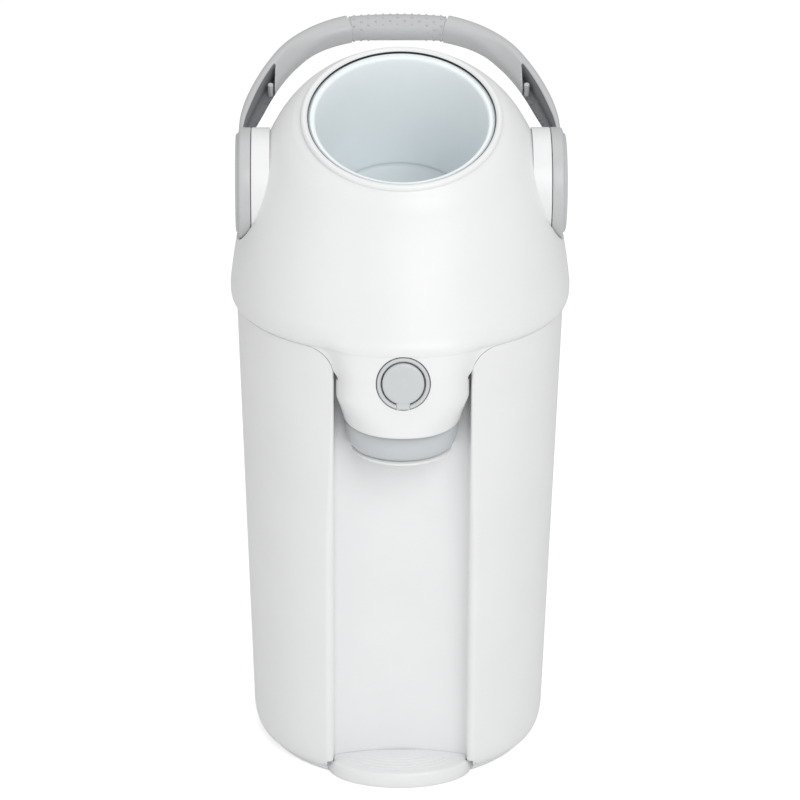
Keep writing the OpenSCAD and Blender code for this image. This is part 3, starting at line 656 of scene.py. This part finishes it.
def front_angles(z):
    """Directions from the front of the columns of tab, ear and rest at height z."""
    meet = phi_end(min(z, TAB_MID_Z))
    t = max(0.0, (z - TAB_MID_Z) / (SHOULDER_Z - TAB_MID_Z))
    first = math.atan2(*tab_point(meet, min(z, TAB_MID_Z)))
    top_end = math.radians(TAB_TOP_ANGLE)
    angles = []
    for j in range(TAB_COLS + 1):
        x, y = tab_point(meet * j / TAB_COLS, min(z, TAB_MID_Z))
        angles.append(math.atan2(x, y) * (1 - t) + top_end * j / TAB_COLS * t)
    seam_x = min(z, SEAM_Z + GAP)
    meet_x = EAR_R * math.sin(first)
    edge_x = corner_side(seam_x, CORNER_R + 0.6)
    edge_x = meet_x + (edge_x - meet_x) * smooth((z - EAR_LOW_Z) / 7)
    edge = math.asin(edge_x / EAR_R)
    start = angles[-1]
    angles += [start + (edge - start) * j / EAR_COLS for j in range(1, EAR_COLS + 1)]
    angles += [edge + (math.pi - edge) * j / REST_COLS for j in range(1, REST_COLS + 1)]
    return angles


def tab_half_row(z, d=0.0):
    """Columns below the ears: the tab back to its open rear, the others parked there."""
    meet = phi_end(EAR_LOW_Z)
    end = meet + (TAB_REAR_PHI - meet) * smooth((EAR_LOW_Z - 2 - z) / 1.5)
    row = []
    for j in range(TAB_COLS + 1):
        x, y = tab_point(end * j / TAB_COLS, z, d)
        row.append((x, -y, z))
    return row + [row[-1]] * (EAR_COLS + REST_COLS)


def ear_half_row(z):
    """Half loop at height z over tab, ear and, above the seam, the skirt."""
    row = []
    for a in front_angles(z):
        r = front_radius(a, z)
        row.append((r * math.sin(a), -r * math.cos(a), z))
    return row


def dome_rows():
    """Half loops from the tab's lower edge to the inside of the opening."""
    edge = TAB_EDGE_R
    rows = []
    for a in range(0, 91, 18):
        inset = edge * (1 - math.sin(math.radians(a)))
        rows.append(tab_half_row(TAB_LOW_Z + edge * (1 - math.cos(math.radians(a))), inset))
    tab_z = list(range(390, 423, 4)) + [425, 427.5, 429.5, 431]
    rows += [tab_half_row(z) for z in tab_z]
    ear_first = len(rows)
    rows += [ear_half_row(EAR_LOW_Z + 1.5 * i) for i in range(18)]
    skirt_first = len(rows)
    skirt = [SEAM_Z + GAP, SEAM_Z + 0.9, SEAM_Z + SKIRT_EDGE]
    skirt += [SEAM_Z + SKIRT_EDGE + SKIRT_ROUND * (1 - math.cos(math.radians(a)))
              for a in range(12, 91, 13)]
    rows += [ear_half_row(z) for z in skirt + [475.5]]
    angles = [math.pi - a for a in front_angles(SHOULDER_Z)]
    steps = 44
    for k in range(41):
        t = k / steps
        rows.append(dome_ring(t, LIP_RISE * smooth((t - 0.7) / 0.3), angles))
    starts = [bead_start(p) for p in rows[-1]]
    for k in range(13):
        row = []
        for a, start in zip(angles, starts):
            turn = start + (math.pi - start) * k / 12
            r, h = BEAD[0] + BEAD_R * math.cos(turn), BEAD[1] + BEAD_R * math.sin(turn)
            row += lip_ring(r, h, [a])
        rows.append(row)
    rows.append(lip_ring(OPENING_R, LIP_LOW_H, angles))
    return rows, ear_first, skirt_first


def bead_start(point):
    """Angle on the lip's round section that faces a point of the dome."""
    x, y, z = point
    across = y * math.cos(TILT) + (z - PIVOT_Z) * math.sin(TILT)
    h = -y * math.sin(TILT) + (z - PIVOT_Z) * math.cos(TILT)
    return math.atan2(h - BEAD[1], math.hypot(x, across) - BEAD[0])


def make_dome_solid():
    """Skin of tab, ears, skirt and dome from one grid, given its wall inwards."""
    half_rows, ear_first, skirt_first = dome_rows()
    rows = [closed_loop(row) for row in half_rows]
    cols = len(rows[0])
    last = TAB_COLS + EAR_COLS + REST_COLS
    faces = []
    for i, face in enumerate(grid_faces(len(rows), cols, False, True)):
        row, col = divmod(i, cols)
        side = min(col, 2 * last - 1 - col)
        if row < ear_first and side >= TAB_COLS:
            continue
        if row < skirt_first and side >= TAB_COLS + EAR_COLS:
            continue
        faces.append(face)
    dome = make_object("dome", [p for row in rows for p in row], faces, 45)
    bm = bmesh.new()
    bm.from_mesh(dome.data)
    loose = [v for v in bm.verts if not v.link_faces]
    bmesh.ops.delete(bm, geom=loose, context="VERTS")
    bmesh.ops.remove_doubles(bm, verts=bm.verts, dist=1e-6)
    bmesh.ops.recalc_face_normals(bm, faces=bm.faces)
    top = max(bm.faces, key=lambda f: f.calc_center_median().x)
    if top.normal.x < 0:
        bmesh.ops.reverse_faces(bm, faces=bm.faces)
    bm.to_mesh(dome.data)
    bm.free()
    mod = dome.modifiers.new("wall", "SOLIDIFY")
    mod.thickness = WALL * MM
    mod.offset = -1.0
    mod.use_even_offset = True
    mod.use_rim = True
    return apply_modifiers(dome)


def make_collar():
    """Flange and rib at the foot of the dome, round the body's rim."""
    low, top, r = SEAM_Z + 0.6, SEAM_Z + 3.6, BODY_TOP_R
    flange = turned("flange", [(0, low), (r, low), (r, top), (0, top)])
    boolean(flange, rim_prism(RIB_OUT, SEAM_Z - 6, SEAM_Z + 1), "UNION")
    return boolean(flange, rim_prism(RIB_IN, SEAM_Z - 10, SEAM_Z + 10), "DIFFERENCE")


def rim_prism(d, low, high):
    """Prism over the plan of the body's rim, drawn in by d."""
    half = body_outline(BODY_TOP_R - d, d)
    rows = [closed_loop([(x, y, z) for x, y, _ in half]) for z in (low, high)]
    return grid("rim", rows, caps=True)


def make_posts():
    """Posts inside the dome that carry the cradle."""
    n = 96
    around = [2 * math.pi * i / n for i in range(n)]
    core = grid("core", [dome_ring(k / 22, 1, around) for k in range(23)], caps=True)
    posts = []
    for a in (math.radians(degrees) for degrees in POST_ANGLES):
        place = (POST_REACH * math.cos(a), POST_REACH * math.sin(a), 0)
        profile = [(0, POST_LOW_Z), (POST_R, POST_LOW_Z), (POST_R, POST_TOP_Z),
                   (0, POST_TOP_Z)]
        posts.append(turned("post", profile, Matrix.Translation(place), 32))
    return boolean(join("posts", posts), core, "INTERSECT")


def disc_profile(r, h0, h1, edge0, edge1, steps=5):
    """Closed profile of a disc with rounded edges, from its lower to its upper face."""
    low = arc((r - edge0, h0 + edge0), edge0, -90, 0, steps) if edge0 else [(r, h0)]
    high = arc((r - edge1, h1 - edge1), edge1, 0, 90, steps) if edge1 else [(r, h1)]
    return [(0, h0)] + low + high + [(0, h1)]


def front_ellipse(half_w, reach, back_y, steps):
    """Half ellipse that bulges to the front, in plan."""
    return [(-half_w * math.cos(math.pi * i / steps),
             back_y - (reach + back_y) * math.sin(math.pi * i / steps))
            for i in range(steps + 1)]


def plan_loop(half_w, reach, back_y, z, steps=56):
    """Half ellipse to the front, closed behind along the recess wall."""
    front = front_ellipse(half_w, reach, back_y, steps)
    back = []
    for i in range(1, 24):
        x = half_w * (1 - i / 12)
        y = RECESS_CENTRE_Y + math.sqrt((RECESS_WALL_R + 0.6) ** 2 - x * x)
        back.append((x, y))
    return [(x, y, z) for x, y in front + back]


def make_dome():
    dome = make_dome_solid()
    for side in (1, -1):
        pocket = turned("pocket", disc_profile(POCKET_R, BOSS_X - 2.2, POCKET_TO_X, 0, 0),
                        along_x(side))
        boolean(dome, pocket, "DIFFERENCE")
        boss = turned("boss", disc_profile(HUB_R, BOSS_ROOT_X, BOSS_X, 0, 1.4),
                      along_x(side))
        boolean(dome, boss, "UNION")
        bore = turned("bore", disc_profile(BUSH_R, BORE_FROM_X, BORE_TO_X, 0, 0),
                      along_x(side), 96)
        boolean(dome, bore, "DIFFERENCE")
    hole = turned("hole", disc_profile(BEZEL_R + 0.4, -12, 30, 0, 0), at_button(), 96)
    boolean(dome, hole, "DIFFERENCE")
    dome = join("dome", [dome, make_collar(), make_posts()])
    shade(dome, 32)
    return dome


# Handle

# Stations of one arm in the tilted plane: distance to the side, distance behind the
# pivot, half width and half thickness.
BOW = [(152.2, 50, 4.8, 11), (152, 64, 4.9, 11), (149.6, 78, 6.9, 11), (146.2, 90, 8.6, 11.2),
       (141.8, 104, 9.8, 11.6), (136.2, 120, 10.2, 12), (129.2, 137, 10.4, 12.2),
       (120.2, 155, 10.6, 12.4), (109, 173, 11, 12.6), (95, 189, 11.4, 12.8),
       (79, 201.5, 11.8, 13), (62, 210, 12.2, 13.1), (49, 214.5, 12.4, 13.1)]


def catmull(points, steps):
    """Smooth curve through the stations, with steps pieces between each two."""
    out = []
    for i in range(len(points) - 1):
        p0 = points[max(i - 1, 0)]
        p1, p2 = points[i], points[i + 1]
        p3 = points[min(i + 2, len(points) - 1)]
        for k in range(steps):
            t = k / steps
            out.append(tuple(
                0.5 * (2 * b + (c - a) * t + (2 * a - 5 * b + 4 * c - d) * t * t
                       + (3 * b - a - 3 * c + d) * t ** 3)
                for a, b, c, d in zip(p0, p1, p2, p3)))
    out.append(points[-1])
    return out


def signed_power(value, power):
    return math.copysign(abs(value) ** power, value)


# Section of the arm: u runs from the inner to the outer side, v from below to above.
# The upper side has a crease between an outer band and a face that slants inwards.
ARM_SECTION = [(0.12, 1.0), (0.42, 0.985), (0.68, 0.93), (0.87, 0.8), (0.97, 0.58),
               (1.0, 0.3), (1.0, 0.0), (1.0, -0.3), (0.97, -0.58), (0.87, -0.8),
               (0.66, -0.94), (0.35, -0.99), (0.0, -1.0), (-0.35, -0.99), (-0.66, -0.94),
               (-0.87, -0.8), (-0.97, -0.6), (-1.0, -0.4), (-1.0, -0.22), (-0.99, -0.06),
               (-0.93, 0.12), (-0.8, 0.28), (-0.6, 0.47), (-0.36, 0.67), (-0.1, 0.87),
               (0.03, 0.965)]
# Pocket in the arm. POCKET_EDGE and the second value of POCKET_ENDS say where it starts
# and ends across the arm; beyond -1 it is open to the inner side. The first value is the
# station of BOW. POCKET_FLOOR is what is left below it.
POCKET_EDGE = 0.12
POCKET_FLOOR = 3.0
POCKET_ENDS = [(1, -1.7), (4, -1.7), (5, -1.5), (6, -0.75), (6.9, 0.0)]


def bow_frames():
    """Points along the arm's centre line with its side vector, half width and thickness."""
    line = catmull(BOW, 6)
    frames = []
    for i, (x, y, wide, thick) in enumerate(line):
        a, b = line[max(i - 1, 0)], line[min(i + 1, len(line) - 1)]
        length = math.hypot(b[0] - a[0], b[1] - a[1])
        frames.append((x, y, (b[1] - a[1]) / length, -(b[0] - a[0]) / length, wide, thick))
    return frames


def arm_loop(frame_at, section):
    x, y, sx, sy, wide, thick = frame_at
    return [(x + sx * wide * u, y + sy * wide * u, thick * v) for u, v in section]


def round_section(n):
    """Rounded section of the bow near the grip, with n points."""
    section = []
    for k in range(n):
        a = math.pi / 2 - 2 * math.pi * k / n
        section.append((signed_power(math.cos(a), SOFT_POWER),
                        signed_power(math.sin(a), SOFT_POWER)))
    return section


def make_bow():
    """One arm from the hub to the grip, its pocket cut out and a screw boss in it."""
    soft = round_section(len(ARM_SECTION))
    rows = []
    for frame_at in bow_frames():
        t = smooth((frame_at[1] - ROUND_FROM) / ROUND_OVER)
        section = [(p[0] * (1 - t) + q[0] * t, p[1] * (1 - t) + q[1] * t)
                   for p, q in zip(ARM_SECTION, soft)]
        rows.append(arm_loop(frame_at, section))
    arm = grid("arm", rows, caps=True, sharp=50)
    two_materials(arm, 0)
    boolean(arm, make_arm_pocket(), "DIFFERENCE")
    move(arm, tilted())
    boss = turned("screw_boss", disc_profile(2.7, -9, 5.5, 0, 0.7), None, 32)
    move(boss, tilted() @ Matrix.Translation(ARM_BOSS_PLACE))
    return join("arm", [arm, boss])


def two_materials(obj, index):
    """Gives a mesh the arm's grey and the pocket's painted shade, a dark grey for the shadow
    inside the pocket, so a cut keeps both.
    """
    for material in (GREY, POCKET_SHADE):
        obj.data.materials.append(material)
    polygons = obj.data.polygons
    polygons.foreach_set("material_index", [index] * len(polygons))


def make_arm_pocket():
    rows = []
    frames = bow_frames()
    for i in range(6, 42):
        at = i / 6
        for (a, end_a), (b, end_b) in zip(POCKET_ENDS, POCKET_ENDS[1:]):
            if a <= at <= b:
                end = end_a + (end_b - end_a) * (at - a) / (b - a)
        thick = frames[i][5]
        low, high = POCKET_FLOOR / thick - 1, 1.4
        section = [(POCKET_EDGE, low), (POCKET_EDGE, high), (end, high), (end, low)]
        rows.append(arm_loop(frames[i], section))
    pocket = grid("arm_pocket", rows, caps=True)
    # The pocket's walls take the painted shade material, which the cut leaves on the arm.
    two_materials(pocket, 1)
    return pocket


def mirrored(obj):
    """Copy of a piece on the other side of the middle plane."""
    copy = obj.copy()
    copy.data = obj.data.copy()
    bpy.context.scene.collection.objects.link(copy)
    copy.data.transform(Matrix.Scale(-1, 4, (1, 0, 0)))
    copy.data.flip_normals()
    return copy


def make_hub(side):
    return turned("hub", disc_profile(HUB_R, HUB_X, HUB_FACE_X, 0.8, 3.0), along_x(side))


def make_handle():
    arm = make_bow()
    handle = join("handle_frame", [make_hub(1), arm])
    other = mirrored(handle)
    return join("handle_frame", [handle, other])


def make_grip():
    """Arched sleeve with a groove near each end and staggered rows of raised dots."""
    end = GRIP_LEN / 2
    groove = [(GRIP_R - 1.4, end), (GRIP_R - 0.3, end - 0.3), (GRIP_R + 0.1, end - 0.9),
              (GRIP_R + 0.1, end - 1.4), (GRIP_R - 0.5, end - 1.9),
              (GRIP_R - 0.5, end - 2.2), (GRIP_R, end - 2.7)]
    profile = groove + [(GRIP_R, h) for h in range(42, -45, -6)]
    profile += [(r, -h) for r, h in groove[::-1]]
    profile += [(CORE_R, -end), (CORE_R, end)]
    parts = [turned("grip", profile, None, 120)]
    for row in range(DOT_ROWS):
        for k in range(7):
            along = DOT_PITCH * (k - 3 + (0.5 if row % 2 else 0))
            if abs(along) < DOTS_HALF_L:
                parts.append(make_dot(360 * row / DOT_ROWS, along))
    grip = join("grip", parts)
    turn = Matrix.Translation((0, GRIP_REACH, 0)) @ Matrix.Rotation(math.radians(90), 4, "Y")
    move(grip, turn)
    for v in grip.data.vertices:
        v.co.y -= GRIP_ARCH * MM * (v.co.x / (end * MM)) ** 2
    move(grip, tilted())
    shade(grip, 40)
    return grip


def make_dot(around, along):
    """Small raised dot on the grip."""
    height = DOT_TOP_R - GRIP_R
    profile = [(0, -0.4), (1.3, -0.4), (1.2, 0.3 * height), (0.9, 0.72 * height),
               (0.45, 0.95 * height), (0, height)]
    lean = Matrix.Rotation(math.radians(90), 4, "Y")
    place = (Matrix.Rotation(math.radians(around), 4, "Z")
             @ Matrix.Translation((GRIP_R, 0, along)) @ lean)
    return turned("dot", profile, place, 10)


def make_cap(side):
    """Round cap pressed onto the hub, with a soft edge."""
    profile = [(0, HUB_FACE_X), (CAP_R, HUB_FACE_X - 2), (CAP_R, HUB_FACE_X + 0.6)]
    profile += arc((CAP_R - CAP_EDGE, HUB_FACE_X + 0.2), CAP_EDGE, 10, 80, 5)
    profile += [(40, CAP_FACE_X), (0, CAP_FACE_X)]
    return turned("cap", profile, along_x(side))


# Drum

def make_drum():
    """Tube through the ball, open at both ends, with a thin flange at each mouth."""
    half = [(TUBE_R, 50), (TUBE_R + 0.4, 64), (TUBE_R + 1.1, 74), (TUBE_R + 1.8, 80.5),
            (TUBE_R + 2.3, 83.4), (TUBE_R + 2.6, 84.8), (TUBE_R + 3.2, 85.7),
            (TUBE_R + 4.0, 86.2), (TUBE_R + 4.8, FLANGE_H), (TUBE_R + 6.5, FLANGE_H - 0.3),
            (FLANGE_R - 0.6, FLANGE_H - 0.7), (FLANGE_R, FLANGE_H - 1.2),
            (FLANGE_R, SEAT_H), (TUBE_R + TUBE_WALL, SEAT_H)]
    profile = half + [(r, -h) for r, h in half[::-1]]
    return turned("drum", profile, tilted(), 192)


def make_piston():
    """Dished piston: both faces run into the side wall with a soft curve."""
    half = PISTON_H / 2
    face = [(PISTON_R * math.cos(math.radians(a)) ** 0.8,
             half - PISTON_DIP * math.sin(math.radians(a)) ** 0.8) for a in range(0, 90, 6)]
    face[0] = (PISTON_R, half)
    face.append((0, half - PISTON_DIP))
    profile = [(r, -h) for r, h in face[::-1]] + face
    place = tilted() @ Matrix.Translation((0, 0, PISTON_MID))
    return turned("piston", profile, place, 192)


def make_opening_seal():
    """Rubber ring between dome and ball that lines the gap round the opening."""
    inner = [(math.sqrt(SEAL_IN_R ** 2 - h * h), h) for h in (78, 80, 82, 84, 86)]
    lining = [(OPENING_R - 0.2, 86.6), (OPENING_R - 0.4, 88.5), (OPENING_R + 0.2, 88.9)]
    outer = [(math.sqrt(SEAL_OUT_R ** 2 - h * h), h) for h in (87, 85, 83, 81, 79, 78)]
    return turned("opening_seal", inner + lining + outer, tilted(), 192)


# Button and catch

NECK_HALF_W = 6.4
NECK_LOW = -1.0
DISC_LOW = -3.5
BEZEL_LOW = -7.0
# Neck of the button from the disc outwards: place along it and height of its upper face.
NECK_ROWS = [(-18.4, 1.2), (-19.6, 0.9), (-21.0, 0.9), (-22.6, 1.1), (-24.0, 1.3),
             (-24.6, 1.0)]


def box(name, low, high):
    points = [(x, y, z) for x in (low[0], high[0]) for y in (low[1], high[1])
              for z in (low[2], high[2])]
    faces = [(0, 1, 3, 2), (4, 6, 7, 5), (0, 4, 5, 1), (2, 3, 7, 6), (0, 2, 6, 4),
             (1, 5, 7, 3)]
    made = make_object(name, points, faces)
    fix_normals(made)
    return made


def make_bezel():
    """Ring round the button, open where the button's neck crosses it."""
    profile = [(BUTTON_R + 1.5, BEZEL_LOW), (BEZEL_R - 0.6, BEZEL_LOW),
               (BEZEL_R - 0.6, 0.0)]
    profile += arc((BEZEL_R - 2.2, 0.2), 1.6, 0, 90, 6)
    profile += [(BUTTON_R + 3.2, 1.8), (BUTTON_R + 2.2, 1.4), (BUTTON_R + 1.5, 0.4)]
    bezel = turned("bezel", profile, None, 128)
    half = NECK_HALF_W + 0.1
    notch = box("notch", (-half, -40, DISC_LOW), (half, -10, 20))
    boolean(bezel, notch, "DIFFERENCE")
    move(bezel, at_button())
    shade(bezel, 40)
    return bezel


def make_button():
    """Domed disc with the thin neck that it bends on."""
    r = BUTTON_R
    profile = [(0, DISC_LOW), (r, DISC_LOW), (r, 0.2), (r - 0.4, 0.75), (r - 1.2, 1.25),
               (r - 2.4, 1.55), (r - 3.2, 1.6)]
    profile += [(r * (1 - i / 6) - 2.0, 1.6 + 0.6 * i / 6) for i in range(1, 6)]
    profile += [(0, 2.2)]
    disc = turned("button", profile, None, 128)
    rows = []
    w = NECK_HALF_W
    for y, top in NECK_ROWS:
        rows.append([(-w, y, top - 0.5), (-w + 0.5, y, top), (w - 0.5, y, top),
                     (w, y, top - 0.5), (w, y, NECK_LOW), (-w, y, NECK_LOW)])
    neck = grid("neck", rows, caps=True)
    button = join("button", [disc, neck])
    move(button, at_button())
    shade(button, 40)
    return button


# Catch housing from its underside up: height, half width and reach to the front.
HOUSING_ROWS = [(351.2, 41.0, 151.0), (351.7, 44.4, 155.2), (353.0, 47.2, 158.4),
                (355.4, 49.6, 161.2), (359.0, 51.6, 163.8), (364.0, 53.2, 165.8),
                (370.0, 54.3, 167.2), (376.0, 55.0, 168.0), (379.0, 55.2, 168.2),
                (379.8, 54.8, 167.8), (380.0, 54.0, 167.0)]
HOUSING_BACK_Y = -110.5
CAVITY_LOW = (-18.0, -158.5, 360.2)
CAVITY_HIGH = (18.0, -124.5, 420.0)


def make_housing():
    """Housing under the tab, hollow from above for the latch."""
    rows = [plan_loop(half, reach, HOUSING_BACK_Y, z) for z, half, reach in HOUSING_ROWS]
    housing = grid("housing", rows, caps=True, sharp=60)
    boolean(housing, box("cavity", CAVITY_LOW, CAVITY_HIGH), "DIFFERENCE")
    shade(housing, 50)
    return housing


# Foot plate

FOOT_REACH = 150.0
FOOT_BACK_Y = -104.0
FOOT_REAR_Y = -96.0
FOOT_TOP_Z = 16.0
RIDGE_CENTRE_Y = -61.0
RIDGE_HALF_W = 60.0
RIDGE_NEAR = 47.0


def make_foot():
    """Plate that reaches out under the recess, with arcs of ridges on top."""
    half_w, reach = FOOT_HALF_W - 0.9, FOOT_REACH
    rows = []
    for d, z in [(1.6, 0.3), (0.6, 0.7), (0.0, 1.8), (0.0, 12.8), (0.3, 14.2), (1.0, 15.2),
                 (2.0, 15.8), (3.2, FOOT_TOP_Z)]:
        rows.append(foot_loop(half_w - d, reach - d, z))
    plate = grid("foot", rows, caps=True, sharp=50)
    ridges = [make_ridge(r) for r in range(54, 79, 6)]
    return join("foot", [plate] + ridges)


def foot_loop(half_w, reach, z):
    front = front_ellipse(half_w, reach, FOOT_BACK_Y, 60)
    back = []
    for i in range(1, 24):
        x = half_w * (1 - i / 12)
        y = RECESS_CENTRE_Y + math.sqrt((RECESS_WALL_R - 0.4) ** 2 - x * x)
        back.append((x, min(y, FOOT_REAR_Y)))
    return [(x, y, z) for x, y in front + back]


def make_ridge(r):
    """Soft raised arc on top of the foot plate."""
    top = FOOT_TOP_Z
    end = min(math.asin(min(1.0, RIDGE_HALF_W / r)), math.acos(RIDGE_NEAR / r))
    rows = []
    for i in range(41):
        a = end * (i / 20 - 1)
        fade = min(1.0, 1.02 - abs(i / 20 - 1) ** 8)
        section = [(-1.6, top - 0.3), (-0.9, top + 0.35 * fade), (0, top + 0.8 * fade),
                   (0.9, top + 0.35 * fade), (1.6, top - 0.3)]
        rows.append([((r + d) * math.sin(a), RIDGE_CENTRE_Y - (r + d) * math.cos(a), z)
                     for d, z in section])
    return grid("ridge", rows, caps=True, sharp=60)


# Assembly

finish(make_body(), WHITE, "bin", "shell_white", "body_shell")
finish(make_housing(), HOUSING, "bin", "handle_grey", "catch_housing")
finish(make_foot(), WHITE, "bin", "shell_white", "foot_plate")
finish(make_dome(), WHITE, "lid", "shell_white", "dome_shell")
finish(make_opening_seal(), SEAL, "lid", "rubber", "upper_seal")
handle = finish(make_handle(), GREY, "ball_and_handle", "handle_grey", "handle_bow")
# Second slot: painted shade for the walls of the arm's pocket.
handle.data.materials.append(POCKET_SHADE)
finish(make_grip(), GRIP, "ball_and_handle", "grip_grey", "grip_sleeve")
finish(make_cap(1), GREY, "ball_and_handle", "handle_grey", "right_hub_cap")
finish(make_cap(-1), GREY, "ball_and_handle", "handle_grey", "left_hub_cap")
finish(make_drum(), DRUM, "ball_and_handle", "drum_white", "drum_tube")
# The piston carries painted shade: darker than the drum for the shadowed bottom of the tube.
finish(make_piston(), PISTON_SHADE, "piston", "drum_white", "piston_skirt", "piston_top_cap",
       "piston_bottom_cap", "piston_rings")
finish(make_bezel(), BUTTON, "lid", "button_grey", "button_bezel")
finish(make_button(), BUTTON, "button", "button_grey", "release_button")

CAD_MATERIALS = {
    "shell_white": WHITE, "inner_white": INNER, "drum_white": DRUM, "handle_grey": GREY,
    "grip_grey": GRIP, "button_grey": BUTTON, "rubber": RUBBER, "steel": STEEL,
}
SLOTS = {entry["node"]: entry["material_slot"] for entry in frame["record"]["subparts"]}
for name, node in frame["nodes"].items():
    node.data.materials.clear()
    node.data.materials.append(CAD_MATERIALS[SLOTS[name]])


# Stage

# Places are in metres from here on, the lens in millimetres and the angles in degrees.
FLOOR_HALF = 6.0
FLOOR_GLOW = 0.45
AMBIENT = 0.50
LENS = 180.0
CAMERA_PLACE = (-0.075, -3.663, 1.816)
CAMERA_PITCH = 21.78
CAMERA_YAW = 1.181
CAMERA_ROLL = 0.3


def make_floor():
    """Pale floor that keeps the shadow; a glow seen by the camera alone whitens it."""
    mesh = bpy.data.meshes.new("floor")
    s = FLOOR_HALF
    mesh.from_pydata([(-s, -s, 0), (s, -s, 0), (s, s, 0), (-s, s, 0)], [], [(0, 1, 2, 3)])
    floor = bpy.data.objects.new("floor", mesh)
    bpy.context.scene.collection.objects.link(floor)
    mat = bpy.data.materials.new("floor")
    mat.use_nodes = True
    nodes, links = mat.node_tree.nodes, mat.node_tree.links
    shader = nodes["Principled BSDF"]
    shader.inputs["Base Color"].default_value = (0.93, 0.93, 0.93, 1)
    shader.inputs["Roughness"].default_value = 0.9
    shader.inputs["Specular IOR Level"].default_value = 0.1
    rays = nodes.new("ShaderNodeLightPath")
    glow = nodes.new("ShaderNodeEmission")
    glow.inputs["Strength"].default_value = FLOOR_GLOW
    black = nodes.new("ShaderNodeEmission")
    black.inputs["Strength"].default_value = 0.0
    pick = nodes.new("ShaderNodeMixShader")
    add = nodes.new("ShaderNodeAddShader")
    links.new(rays.outputs["Is Camera Ray"], pick.inputs["Fac"])
    links.new(black.outputs["Emission"], pick.inputs[1])
    links.new(glow.outputs["Emission"], pick.inputs[2])
    links.new(shader.outputs["BSDF"], add.inputs[0])
    links.new(pick.outputs["Shader"], add.inputs[1])
    links.new(add.outputs["Shader"], nodes["Material Output"].inputs["Surface"])
    mesh.materials.append(mat)


def area_light(name, place, target, size, power):
    data = bpy.data.lights.new(name, "AREA")
    data.shape = "SQUARE"
    data.size = size
    data.energy = power
    lamp = bpy.data.objects.new(name, data)
    bpy.context.scene.collection.objects.link(lamp)
    lamp.location = place
    look = Vector(target) - Vector(place)
    lamp.rotation_euler = look.to_track_quat("-Z", "Y").to_euler()


def make_lights():
    """Large soft lamps, an even room, and white behind the object for the camera."""
    area_light("key", (1.0, -3.2, 2.4), (0, 0, 0.4), 2.4, 63)
    area_light("fill", (-2.4, -2.0, 1.4), (0, 0, 0.35), 2.0, 9)
    area_light("top", (0.0, 0.2, 3.0), (0, 0, 0.4), 2.4, 15)
    world = bpy.data.worlds.new("studio")
    bpy.context.scene.world = world
    world.use_nodes = True
    back = world.node_tree.nodes["Background"]
    back.inputs["Color"].default_value = (1, 1, 1, 1)
    nodes, links = world.node_tree.nodes, world.node_tree.links
    rays = nodes.new("ShaderNodeLightPath")
    strength = nodes.new("ShaderNodeMath")
    strength.operation = "MULTIPLY_ADD"
    strength.inputs[1].default_value = 1.0 - AMBIENT
    strength.inputs[2].default_value = AMBIENT
    links.new(rays.outputs["Is Camera Ray"], strength.inputs[0])
    links.new(strength.outputs["Value"], back.inputs["Strength"])


def make_camera():
    """Camera fitted to the seam, the base and the outlines of the photo."""
    data = bpy.data.cameras.new("camera")
    data.lens = LENS
    data.sensor_width = 36.0
    data.clip_end = 50.0
    cam = bpy.data.objects.new("camera", data)
    bpy.context.scene.collection.objects.link(cam)
    pitch, yaw = math.radians(CAMERA_PITCH), math.radians(CAMERA_YAW)
    roll = math.radians(CAMERA_ROLL)
    forward = Vector((math.sin(yaw) * math.cos(pitch), math.cos(yaw) * math.cos(pitch),
                      -math.sin(pitch)))
    right = forward.cross(Vector((0, 0, 1))).normalized()
    up = right.cross(forward)
    right_r = math.cos(roll) * right + math.sin(roll) * up
    up_r = -math.sin(roll) * right + math.cos(roll) * up
    turn = Matrix((right_r, up_r, -forward)).transposed().to_4x4()
    cam.matrix_world = Matrix.Translation(CAMERA_PLACE) @ turn
    bpy.context.scene.camera = cam


make_floor()
make_lights()
make_camera()
bpy.context.scene.view_settings.view_transform = "Standard"
